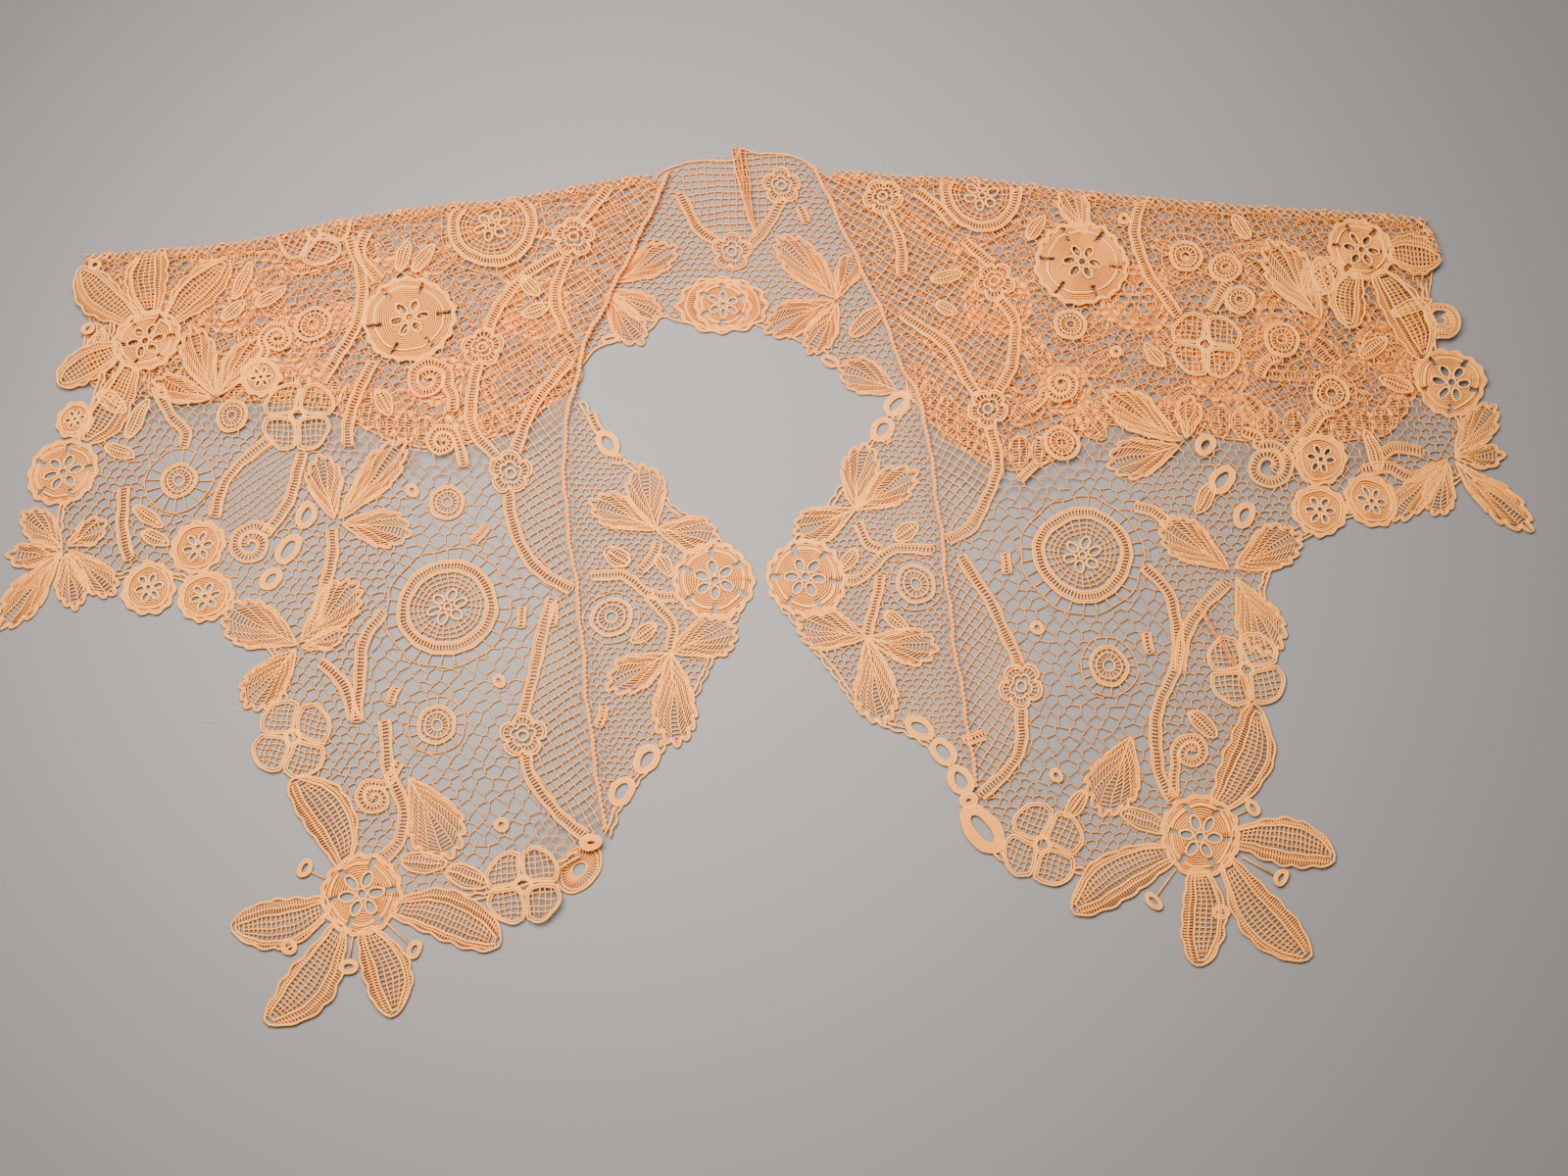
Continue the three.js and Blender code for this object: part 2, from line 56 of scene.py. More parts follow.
# ---- Back panel ----
# The cape back, worked in one: cloth-stitch flowers, leaves and tapes, joined by a ground of fine meshes.
# It lies undermost. Its scalloped neck edge shows between the fronts, the rest glows through their net.
LOW = 0.6  # height of the lace that lies on the surface
UPPER = 2.0  # how much higher the lace lies on the back
NET, FINE, TAPE, CORD, GIMP = 0.36, 0.38, 0.42, 0.45, 0.5  # thread radii, from the net to the outlines

left_seam = [(-41, 154), (-51, 128), (-61, 104), (-71, 81), (-75, 61), (-78, 41), (-76, 12), (-70, -24),
             (-65, -63), (-59, -97), (-58, -104)]
right_seam = [(17, 157), (32, 119), (45, 86), (50, 69), (57, 54), (62, 16), (66, -33), (71, -75), (72, -89)]
left_fold = [(-48, 154), (-71, 150), (-104, 143), (-132, 140), (-168, 134), (-208, 124), (-246, 120),
             (-270, 118)]
right_fold = [(24, 156), (54, 153), (81, 152), (126, 146), (185, 140), (251, 135), (259, 130), (263, 118)]
left_hem = [(-262, 76), (-256, 61), (-211, 57), (-182, 57), (-157, 48), (-142, 40), (-127, 38), (-102, 43),
            (-87, 53), (-74, 66)]
right_hem = [(53, 60), (63, 46), (79, 33), (98, 29), (113, 38), (124, 47), (183, 41), (228, 42), (240, 53),
             (250, 74)]


def smooth(points, step=1.6, closed=False):
    """A soft curve through the points, in even short steps."""
    p = np.asarray(points, float)
    if closed:
        p = np.vstack([p[-1:], p, p[:2]])
    else:
        p = np.vstack([2 * p[0] - p[1], p, 2 * p[-1] - p[-2]])
    out = []
    for a, b, c, d in zip(p[:-3], p[1:-2], p[2:-1], p[3:]):
        count = max(2, int(round(np.hypot(*(c - b)) / step)))
        t = np.arange(count)[:, None] / count
        out.append(0.5 * (2 * b + (c - a) * t + (2 * a - 5 * b + 4 * c - d) * t**2
                          + (3 * b - a - 3 * c + d) * t**3))
    if not closed:
        out.append(p[-2][None])
    return np.vstack(out)


def unit(run):
    """The directions, each at length one."""
    return run / np.maximum(np.hypot(run[:, 0], run[:, 1]), 1e-9)[:, None]


def aside(run):
    """The directions turned a quarter to the left."""
    return np.column_stack([-run[:, 1], run[:, 0]])


def beside(line, distance):
    """The line moved sideways, to the left of its run."""
    p = np.asarray(line, float)
    return p + distance * aside(unit(np.gradient(p, axis=0)))


def lengths(line):
    """How far along the line each of its points is."""
    return np.r_[0, np.cumsum(np.hypot(*np.diff(line, axis=0).T))]


def points_at(line, stops):
    """The points of the line at these distances along it."""
    along = lengths(line)
    return np.column_stack([np.interp(stops, along, line[:, 0]), np.interp(stops, along, line[:, 1])])


def around(count):
    """Directions spread evenly round a circle."""
    a = np.arange(count) * 2 * math.pi / count
    return np.column_stack([np.cos(a), np.sin(a)])


def stem(x, y, tip_x, tip_y):
    """Root, tip, length, direction and left side of a motif that points from x, y to its tip."""
    root, tip = np.array([x, y], float), np.array([tip_x, tip_y], float)
    length = np.hypot(*(tip - root))
    along = (tip - root) / length
    return root, tip, length, along, np.array([-along[1], along[0]])


def scalloped(line, depth=1.1):
    """The line as a row of small arcs, bulging to the right of its run."""
    pitch = 5.0
    total = lengths(line)[-1]
    along = np.linspace(0, total, int(total / 0.9))
    bulge = depth * np.abs(np.sin(along * math.pi / pitch)) ** 0.7
    p = points_at(line, along)
    return p - bulge[:, None] * aside(unit(np.gradient(p, axis=0)))


def ring(x, y, rx, ry=None, step=1.3, wave=0.0, lobes=0, turn=0.0):
    """A round or lobed loop."""
    ry = rx if ry is None else ry
    count = max(8, int(round(math.pi * (rx + ry) / step)))
    if lobes:
        count = max(count, 6 * lobes)
    a = np.arange(count) * 2 * math.pi / count
    r = 1 + wave * np.cos(lobes * a)
    u, v = rx * r * np.cos(a), ry * r * np.sin(a)
    c, s = math.cos(turn), math.sin(turn)
    return np.column_stack([x + c * u - s * v, y + s * u + c * v])


def inside(p, polygon):
    """Which of the points lie in the polygon."""
    q = np.asarray(polygon, float)
    low, high = q.min(0), q.max(0)
    near = np.flatnonzero(((p >= low) & (p <= high)).all(1))
    x, y = p[near, 0], p[near, 1]
    odd = np.zeros(len(near), bool)
    for (ax, ay), (bx, by) in zip(q, np.roll(q, -1, 0)):
        if ay != by:
            odd ^= ((ay > y) != (by > y)) & (x < (bx - ax) * (y - ay) / (by - ay) + ax)
    found = np.zeros(len(p), bool)
    found[near[odd]] = True
    return found


def away(p, line):
    """Distance of each point from a line."""
    nearest = np.full(len(p), 1e9)
    for a, b in zip(line[:-1], line[1:]):
        d = b - a
        t = np.clip(((p - a) @ d) / (d @ d), 0, 1)
        nearest = np.minimum(nearest, np.hypot(*(p - a - t[:, None] * d).T))
    return nearest


class Lace:
    """Threads drawn in the plane. Each motif keeps a footprint that the ground stops at."""

    def __init__(self):
        self.threads = []
        self.rungs = []
        self.taken = []

    def thread(self, points, radius, lift=0.0, tone=0.0, closed=False, sides=4):
        """One thread along the points."""
        if len(points) > 1:
            self.threads.append((np.asarray(points, float), radius, lift, tone, closed, sides))

    def loop(self, points, radius, lift=0.0, tone=0.0, sides=4):
        """One thread that runs back into its own start."""
        self.thread(points, radius, lift, tone, True, sides)

    def rung(self, start, end, radius=FINE, lift=0.0, tone=0.0):
        """Straight short threads, one from each start to its end."""
        a, b = np.asarray(start, float), np.asarray(end, float)
        rest = np.tile([radius, lift, tone], (len(a), 1))
        self.rungs.append(np.column_stack([a, b, rest]))

    def clip(self, lines, keep, radius, lift=0.0, tone=0.0, sides=3, step=0.9):
        """Keeps the stretches of the lines where keep says so."""
        samples, owners = [], []
        for i, line in enumerate(lines):
            line = np.asarray(line, float)
            along = lengths(line)
            count = max(2, int(along[-1] / step) + 1)
            t = np.unique(np.r_[np.linspace(0, along[-1], count), along])
            samples.append(np.column_stack([points_at(line, t), np.isin(t, along)]))
            owners.append(np.full(len(t), i))
        if not samples:
            return
        s, owner = np.vstack(samples), np.concatenate(owners)
        kept = keep(s[:, :2])
        breaks = np.flatnonzero((np.diff(owner) != 0) | (kept[1:] != kept[:-1])) + 1
        for first, last in zip(np.r_[0, breaks], np.r_[breaks, len(s)]):
            if not kept[first] or last - first < 2:
                continue
            run = s[first:last]
            run = run[np.r_[True, run[1:-1, 2] > 0, True]]
            if len(run) == 2:
                self.rung(run[:1, :2], run[1:, :2], radius, lift, tone)
            else:
                self.thread(run[:, :2], radius, lift, tone, sides=sides)

    def free(self, p):
        """Which points no motif covers."""
        clear = np.ones(len(p), bool)
        for polygon in self.taken:
            clear &= ~inside(p, polygon)
        return clear

    def trim(self, region):
        """Cuts off what lies outside the region."""
        threads, self.threads = self.threads, []
        for points, radius, lift, tone, closed, sides in threads:
            kept = inside(points, region)
            if kept.all():
                self.threads.append((points, radius, lift, tone, closed, sides))
                continue
            if closed:
                first = int(np.flatnonzero(~kept)[0])
                points, kept = np.roll(points, -first, 0), np.roll(kept, -first)
            breaks = np.flatnonzero(kept[1:] != kept[:-1]) + 1
            for start, end in zip(np.r_[0, breaks], np.r_[breaks, len(points)]):
                if kept[start]:
                    self.thread(points[start:end], radius, lift, tone, sides=sides)
        rungs = np.vstack(self.rungs)
        self.rungs = [rungs[inside(rungs[:, 0:2], region) & inside(rungs[:, 2:4], region)]]

    # Grounds

    def square_net(self, region, pitch, angle, radius=NET, over=False, tone=0.0):
        """Two sets of parallel threads, knotted where they cross."""
        q = np.asarray(region, float)
        middle, reach = q.mean(0), np.hypot(*(q - q.mean(0)).T).max() + pitch
        lines = []
        for turn in (angle, angle + 90):
            along = np.array([math.cos(math.radians(turn)), math.sin(math.radians(turn))])
            across = np.array([-along[1], along[0]])
            for k in np.arange(-reach, reach, pitch):
                steps = np.arange(-reach, reach, pitch)
                bow = 0.22 * np.sin(steps * 0.31 + k * 1.7)
                lines.append(middle + along * steps[:, None] + across * (k + bow)[:, None])
        self.clip(lines, lambda p: inside(p, q) & (over | self.free(p)), radius, 0, tone)

    def mesh_ground(self, region, pitch, jitter, radius=NET, others=(), seed=0.0):
        """A ground of uneven six-sided meshes."""
        q = np.asarray(region, float)
        low, high = q.min(0) - pitch, q.max(0) + pitch
        columns = int((high[0] - low[0]) / pitch) + 2
        rows = int((high[1] - low[1]) / (0.75 * pitch)) + 2

        def knot(i, j, side):
            x = low[0] + pitch * (i + 0.5 * (j % 2))
            y = low[1] + 0.75 * pitch * j + (0.18 if side else -0.18) * pitch
            h = np.sin(i * 12.99 + j * 78.23 + side * 37.7 + seed) * 43758.5
            g = np.sin(i * 39.35 + j * 11.14 + side * 83.2 + seed) * 24634.6
            return np.array([x + jitter * ((h % 1) - 0.5) * 2,
                             y + jitter * ((g % 1) - 0.5) * 2])

        lines = []
        for j in range(rows):
            zigzag = []
            for i in range(columns):
                low_knot = knot(i, j, 0)
                high_knot = knot(i, j, 1) + (0.5 * pitch, 0)
                zigzag += [low_knot, high_knot]
            lines.append(zigzag)
            for i in range(columns):
                upper = knot(i, j, 1) + (0.5 * pitch, 0)
                above = knot(i + (j % 2), j + 1, 0)
                lines.append([upper, above])
        self.clip(lines, lambda p: inside(p, q) & self.free(p)
                  & ~np.any([inside(p, o) for o in others] or [np.zeros(len(p), bool)], axis=0), radius)

    # Motifs

    def disc(self, x, y, r, slits=6, turn=0.0):
        """Cloth-stitch flower head: close ribs round six eyelets, with gimp arcs parted by slits."""
        heart = min(7.8, 0.58 * r)
        eyelets = []
        for k in range(6):
            a = turn + math.pi * k / 3
            eyelet = ring(x + 0.64 * heart * math.cos(a), y + 0.64 * heart * math.sin(a),
                          0.34 * heart, 0.22 * heart, 0.9, turn=a)
            eyelets.append(eyelet)
            self.loop(eyelet, CORD, 0.35, 1.0)
        for rr in np.arange(0.34 * heart, r - 0.9, 0.84):
            loop = ring(x, y, rr, None, 1.5)
            loop = np.vstack([loop, loop[:1]])
            if rr < heart + 0.4:
                self.clip([loop], lambda p: ~np.any([inside(p, e) for e in eyelets], axis=0),
                          GIMP, -0.1, -0.1, step=0.5)
            elif slits and 0.62 * r < rr < 0.92 * r:
                keep = self.off_slit(x, y, slits, turn, 0.7)
                self.clip([loop], keep, GIMP, -0.1, -0.1, step=0.3)
            else:
                self.loop(loop[:-1], GIMP, -0.1, -0.1, 3)
        arc = ring(x, y, (0.76 if slits else 0.8) * r, None, 1.3)
        if slits:
            keep = self.off_slit(x, y, slits, turn, 0.8)
            self.clip([np.vstack([arc, arc[:1]])], keep, GIMP, 0.5, 1.0, sides=5, step=0.3)
        else:
            self.loop(arc, CORD, 0.5, 0.9)
        lobes = int(r) + 2
        for inset, tone in ((0.1, 0.4), (0.9, 0.0)):
            self.loop(ring(x, y, r - inset, None, 0.9, 0.45 / r, lobes), GIMP, 0.1, tone)
        self.loop(ring(x, y, 0.22 * heart, None, 0.7), TAPE, 0.4, 0.7)
        self.taken.append(ring(x, y, r - 0.3, None, 3))

    @staticmethod
    def off_slit(x, y, slits, turn, gap):
        """Says which points of a ring are clear of the slits."""
        def keep(p):
            rr = np.hypot(p[:, 0] - x, p[:, 1] - y)
            angle = np.arctan2(p[:, 1] - y, p[:, 0] - x) - turn
            from_middle = np.abs((angle * slits / (2 * math.pi)) % 1 - 0.5) * 2 * math.pi / slits
            return from_middle * rr < math.pi / slits * rr - gap
        return keep

    def leaf(self, x, y, tip_x, tip_y, width):
        """Small leaf: doubled outline, midrib and ladder filling."""
        root, tip, length, along, across = stem(x, y, tip_x, tip_y)

        def at(t, share):
            half = 0.5 * width * np.sin(math.pi * t**0.9) ** 0.5
            return root + along * (length * t)[:, None] + across * (half * share)[:, None]

        steps = max(8, int(length / 1.7))
        t = 0.02 + 0.96 * np.arange(steps + 1) / steps
        self.loop(np.vstack([at(t, 1), tip, at(t[::-1], -1)]), GIMP, 0.25, 0.7)
        inner = max(0.45, 1 - 2.2 / width)
        inset = 0.06 + 0.86 * np.arange(steps) / steps
        self.loop(np.vstack([at(inset, inner), at(inset[::-1], -inner)]), FINE, 0.1, 0.3, 3)
        self.thread(at(0.03 + 0.87 * np.arange(steps) / (steps - 1), 0), FINE, 0.2, 0.6)
        stops = np.arange(0.1, 0.94, 1.15 / length)
        self.rung(at(stops, inner), at(stops, -inner), FINE, 0, 0.1)
        band = np.vstack([at(t, 0.94), at(t[::-1], -0.94)])
        self.taken.append(band[::2])

    def petal(self, x, y, tip_x, tip_y, width, bend, heavy):
        """Large petal: a net within a pale cord, and round it a wavy band of cloth stitch, one side wider."""
        root, _, length, along, across = stem(x, y, tip_x, tip_y)

        def at(t, share):
            half = 0.5 * width * np.sin(math.pi * np.clip(0.08 + 0.91 * t, 0, 1) ** 1.25) ** 0.62
            curve = 4 * bend * length * t * (1 - t)
            return root + along * (length * t)[:, None] + across * (curve + half * share)[:, None]

        t = np.arange(33) / 32
        wave = 1 + 0.11 * np.abs(np.sin(math.pi * 5 * t))
        edge = np.vstack([at(t, wave), at(t[::-1], -wave[::-1])])
        self.loop(edge, GIMP, 0.15, 0.4)
        run = 0.04 + 0.91 * np.arange(16) / 15
        near, far = (0.46, -0.74) if heavy > 0 else (0.74, -0.46)
        middle = (near + far) / 2

        def within(t, share):
            return at(t, middle + (share - middle) * (1 - t**7) ** 0.5)

        self.loop(np.vstack([within(run, near), within(run[::-1], far)]), 0.44, 0.4, 0.8)
        stops = np.arange(0.03, 0.97, 0.95 / length)
        for inner, outer in ((near, 1.0), (far, -1.0)):
            self.rung(within(stops, inner), at(stops, outer), 0.4, 0, -0.1)
            self.thread(at(run, (inner + outer) / 2), 0.4, 0.1, 0.1, sides=3)
        stops = np.arange(0.06, 0.93, 1.5 / length)
        self.rung(within(stops, near), within(stops, far), NET, 0.05, 0.1)
        for share in (far + 0.25 * (near - far), middle, far + 0.75 * (near - far)):
            self.thread(within(run[1:-1], share), NET, 0.1, 0.2, sides=3)
        self.taken.append(edge[::2])

    def leaflet(self, x, y, tip_x, tip_y, width):
        """Leaflet of round-ended fingers, set back in steps from its tip: pale ribs leave the midrib in turn,
        with fine rungs between them."""
        root, _, length, along, across = stem(x, y, tip_x, tip_y)
        fingers = 5 if width < 11.5 else 7 if width < 15.5 else 9
        last = 1 + 1 / (fingers - 1)

        def rim(place):
            out = math.copysign(math.sin(0.6 * math.pi * abs(place)), place)
            return root + along * length * (1 - 0.48 * abs(place) ** 1.4) + across * 0.5 * width * out

        t = np.linspace(0, 1, 7)[:, None]
        notches = np.linspace(-last, last, fingers + 1)
        ribs = []
        for place in notches:
            start = root + along * length * 0.42 * (1 - abs(place) / last)
            end = start + 0.86 * (rim(place) - start)
            pull = (start + end) / 2 + across * math.copysign(0.05 * width, place)
            ribs.append((1 - t) ** 2 * start + 2 * t * (1 - t) * pull + t**2 * end)
        outline = [ribs[0][:-1]]
        for k, (a, b) in enumerate(zip(notches[:-1], notches[1:])):
            first, last_point, end = ribs[k][-1], ribs[k + 1][-1], rim((a + b) / 2)
            out = end - (first + last_point) / 2
            arc = smooth([first, end + 0.6 * (first - end) + 0.35 * out, end,
                          end + 0.6 * (last_point - end) + 0.35 * out, last_point], 1.2)
            self.thread(arc, GIMP, 0.15, 0.3)
            self.thread(beside(arc, 0.75), NET, 0.05, 0.1, sides=3)
            outline.append(arc[:-1])
            wide = np.hypot(*(ribs[k] - ribs[k + 1]).T)
            span = np.hypot(*(ribs[k][-1] - ribs[k][0]))
            stops = np.arange(0.1, 1.02, 1.45 / span)
            stops = stops[np.interp(stops, t[:, 0], wide) > 0.9]
            ends = [np.column_stack([np.interp(stops, t[:, 0], rib[:, i]) for i in (0, 1)])
                    for rib in (ribs[k], ribs[k + 1])]
            self.rung(ends[0], ends[1], 0.34, 0.05, -0.1)
        for k, rib in enumerate(ribs):
            outer = k in (0, fingers)
            radius, tone, sides = (GIMP, 0.3, 4) if outer else (NET, 0.6, 3)
            self.thread(rib, radius, 0.15, tone, sides=sides)
        self.thread(np.array([root, root + along * 0.4 * length]), CORD, 0.25, 0.6)
        self.taken.append(np.vstack(outline + [ribs[-1][::-1]]))

    def tape(self, points, half_width=1.95):
        """Worked tape: two doubled edges with a ladder of rungs between."""
        line = smooth(points, 1.5)
        for side in (-1, 1):
            self.thread(beside(line, side * half_width), TAPE, 0.3, 0.5)
            self.thread(beside(line, side * (half_width - 0.7)), FINE, 0.15, 0.3, sides=3)
        dense = smooth(points, 1.25)
        self.rung(beside(dense, half_width - 0.6), beside(dense, 0.6 - half_width), TAPE, 0.15, 0.3)
        edge = half_width - 0.1
        self.taken.append(np.vstack([beside(line, edge), beside(line, -edge)[::-1]]))

    def bar(self, x, y, length, angle):
        """Short straight tape."""
        a = math.radians(angle)
        d = np.array([math.cos(a), math.sin(a)]) * length / 2
        self.tape([(x - d[0], y - d[1]), (x, y), (x + d[0], y + d[1])], 1.5)

    def wheel(self, x, y, r, halo=4.5):
        """Large wheel: a ladder ring, three thin threads inside it, spokes and a looped flower."""
        band, heart = 4.2, 7.4
        for rr, radius, tone in ((r, CORD, 0.7), (r - 0.8, NET, 0.2), (r - band + 0.8, NET, 0.2),
                                 (r - band, CORD, 0.8)):
            self.loop(ring(x, y, rr, None, 1.5), radius, 0.3, tone)
        turn = around(3 * int(2 * math.pi * (r - band / 2) / 3.6))
        self.rung((x, y) + turn * (r - 0.7), (x, y) + turn * (r - band + 0.7), TAPE, 0.18, 0.3)
        for rr in np.arange(heart + 1.1, r - band - 0.8, 1.7):
            self.loop(ring(x, y, rr, None, 2.0), NET, 0, 0.1, 3)
        spokes = turn[::3]
        self.rung((x, y) + spokes * (heart - 0.6), (x, y) + spokes * (r - band), NET, 0, 0)
        for k in range(6):
            a = 0.3 + 2 * math.pi * k / 6
            cx, cy = x + 0.62 * heart * math.cos(a), y + 0.62 * heart * math.sin(a)
            self.loop(ring(cx, cy, 0.31 * heart, 0.22 * heart, 0.9, turn=a), GIMP, 0.3, 0.8)
        self.loop(ring(x, y, 0.19 * heart, None, 0.8), CORD, 0.4, 0.8)
        self.rung((x, y) + spokes * r, (x, y) + spokes * (r + halo), NET)
        self.loop(ring(x, y, r + halo, None, 2.2, 0.02, 9), NET, sides=3)
        self.taken.append(ring(x, y, r + halo, None, 3))

    def target(self, x, y, r, rays):
        """Small wheel: a corded ring, short spokes and a ring in the middle."""
        for rr, radius, tone in ((r, CORD, 0.7), (r - 0.8, FINE, 0.2), (0.66 * r, NET, 0.5),
                                 (0.3 * r, NET, 0.7)):
            self.loop(ring(x, y, rr, None, 1.1), radius, 0.25, tone)
        turn = around(16)
        self.rung((x, y) + turn * 0.3 * r, (x, y) + turn * (r - 0.6), FINE, 0, 0.1)
        if rays:
            self.rung((x, y) + turn * r, (x, y) + turn * rays, NET)
            self.loop(ring(x, y, rays, None, 1.6), NET, sides=3)
        self.taken.append(ring(x, y, max(r, rays), None, 2))

    def blossom(self, x, y, r, turn=0.3):
        """Small flower: five rounded petals in cord, a smaller flower inside and a ring in the middle."""
        a = np.arange(50) * math.pi / 25
        lobe = 0.74 + 0.3 * np.abs(np.cos(2.5 * a)) ** 0.5
        shape = np.column_stack([np.cos(a + turn), np.sin(a + turn)]) * lobe[:, None]
        for share, radius, tone in ((1.0, GIMP, 0.8), (0.86, FINE, 0.1), (0.52, CORD, 0.7)):
            self.loop((x, y) + shape * share * r, radius, 0.3, tone)
        self.rung((x, y) + shape[::2] * 0.52 * r, (x, y) + shape[::2] * 0.9 * r, FINE, 0.1, 0.1)
        self.loop(ring(x, y, 0.24 * r, None, 0.8), GIMP, 0.4, 0.8)
        self.taken.append((x, y) + shape * 0.95 * r)

    def net_flower(self, x, y, r, turn):
        """Flower of four net petals in doubled gimp, round an open eye."""
        for k in range(4):
            a = turn + 2 * math.pi * k / 4
            spread = math.pi / 4 * 0.94
            b = a + np.linspace(-spread, spread, 15)
            rim = r * (1 - 0.24 * np.abs(np.linspace(-1, 1, 15)) ** 3)
            outer = np.column_stack([x + rim * np.cos(b), y + rim * np.sin(b)])
            foot = 0.2 * r
            base = [[x + foot * math.cos(a + 0.5), y + foot * math.sin(a + 0.5)],
                    [x + foot * math.cos(a - 0.5), y + foot * math.sin(a - 0.5)]]
            petal = smooth(np.vstack([outer, base]), 1.3, closed=True)
            self.loop(petal, CORD, 0.3, 0.8)
            centre = np.array([x + 0.62 * r * math.cos(a), y + 0.62 * r * math.sin(a)])
            inner = centre + (petal - centre) * 0.86
            self.loop(inner, FINE, 0.15, 0.3)
            self.square_net(inner, 2.1, math.degrees(a) + 45, 0.32, over=True, tone=0.3)
            self.taken.append(centre + (petal - centre) * 0.97)
        self.loop(ring(x, y, 2.3, None, 0.9), GIMP, 0.35, 0.8)
        self.loop(ring(x, y, 3.1, None, 1.1), CORD, 0.2, 0.4)

    def oval(self, x, y, rx, ry, turn=0.0):
        """Open link of buttonhole stitch."""
        for inset in np.arange(0, 0.62 * min(rx, ry), 0.8):
            self.loop(ring(x, y, rx - inset, ry - inset, 1.0, turn=math.radians(turn)), GIMP, 0.2,
                      0.5 if inset == 0 else 0.1)
        self.taken.append(ring(x, y, rx, ry, 1.5, turn=math.radians(turn)))

    def picots(self, star_x, star_y, places):
        """Small loops between the petals of a star, each held by a bar."""
        for x, y in places:
            out = np.array([x - star_x, y - star_y], float)
            out /= np.hypot(*out)
            self.oval(x, y, 2.9, 2.1, math.degrees(math.atan2(out[0], -out[1])))
            self.clip([[(x, y) - out * 1.6, (x, y) - out * 14]], self.free, CORD, 0.1, 0.2)

    def curl(self, points, x, y, r, start, hand=1, half_width=1.6):
        """Tape that ends in a spiral round x, y."""
        a = np.arange(11) / 10
        angle = math.radians(start) + hand * a * 2.9 * math.pi
        reach = r * (1 - 0.68 * a)
        spiral = np.column_stack([x + reach * np.cos(angle), y + reach * np.sin(angle)])
        self.tape(np.vstack([points, spiral]) if points else spiral, half_width)
        self.taken.append(ring(x, y, r, None, 2))


def tubes(lace):
    """Vertices, thread tones and faces of all the threads of a lace."""
    verts, tones, faces = [], [], []
    start = 0
    for points, radius, lift, tone, closed, sides in lace.threads:
        n = len(points)
        run = unit(np.roll(points, -1, 0) - np.roll(points, 1, 0) if closed else np.gradient(points, axis=0))
        a = math.pi / 2 + 2 * math.pi * np.arange(sides) / sides
        v = np.empty((n, sides, 3))
        v[..., 0] = points[:, None, 0] - run[:, None, 1] * radius * np.cos(a)
        v[..., 1] = points[:, None, 1] + run[:, None, 0] * radius * np.cos(a)
        v[..., 2] = lift + radius * np.sin(a)
        verts.append(v.reshape(-1, 3))
        tones.append(np.full(n * sides, tone))
        spans = n if closed else n - 1
        i = np.arange(spans)[:, None] * sides
        j = (np.arange(spans)[:, None] + 1) % n * sides
        k = np.arange(sides)[None]
        m = (k + 1) % sides
        quads = np.stack([i + k, i + m, j + m, j + k], -1).reshape(-1, 4) + start
        faces.append(quads)
        if not closed:
            for first, order in ((0, range(sides - 1, -1, -1)), ((n - 1) * sides, range(sides))):
                corners = [start + first + c for c in order]
                faces.extend([np.array([[corners[0], corners[c], corners[c + 1]]])
                              for c in range(1, sides - 1)])
        start += n * sides
    if lace.rungs:
        r = np.vstack(lace.rungs)
        r = r[np.hypot(*(r[:, 2:4] - r[:, 0:2]).T) > 0.2]
        run = unit(r[:, 2:4] - r[:, 0:2])
        n = len(r)
        a = math.pi / 2 + 2 * math.pi * np.arange(3) / 3
        v = np.empty((n, 2, 3, 3))
        for end in (0, 1):
            v[:, end, :, 0] = r[:, None, 2 * end] - run[:, None, 1] * r[:, None, 4] * np.cos(a)
            v[:, end, :, 1] = r[:, None, 2 * end + 1] + run[:, None, 0] * r[:, None, 4] * np.cos(a)
            v[:, end, :, 2] = r[:, None, 5] + r[:, None, 4] * np.sin(a)
        verts.append(v.reshape(-1, 3))
        tones.append(np.repeat(r[:, 6], 6))
        base = start + np.arange(n)[:, None] * 6
        quad = np.array([[0, 1, 4, 3], [1, 2, 5, 4], [2, 0, 3, 5]])
        caps = np.array([[2, 1, 0], [3, 4, 5]])
        faces.append((base[:, None] + quad[None]).reshape(-1, 4))
        faces.append((base[:, None] + caps[None]).reshape(-1, 3))
    return np.vstack(verts), np.concatenate(tones), faces


def waver(p):
    """Small unevenness of hand-worked lace, the same for all that is drawn in it."""
    x, y = p[:, 0], p[:, 1]
    broad, small = 0.4, 0.16
    return np.column_stack(
        [broad * np.sin(y * 0.23 + 1.5 * np.sin(x * 0.11)) + small * np.sin(y * 0.71 + x * 0.37),
         broad * np.sin(x * 0.21 + 1.3 * np.sin(y * 0.13)) + small * np.sin(x * 0.83 - y * 0.29)])


def ripple(p):
    """The lace never lies quite flat."""
    x, y = p[:, 0], p[:, 1]
    return 0.32 + 0.18 * np.sin(x * 0.071 + 1.2 * np.sin(y * 0.043)) + 0.14 * np.sin(y * 0.097 - x * 0.031)


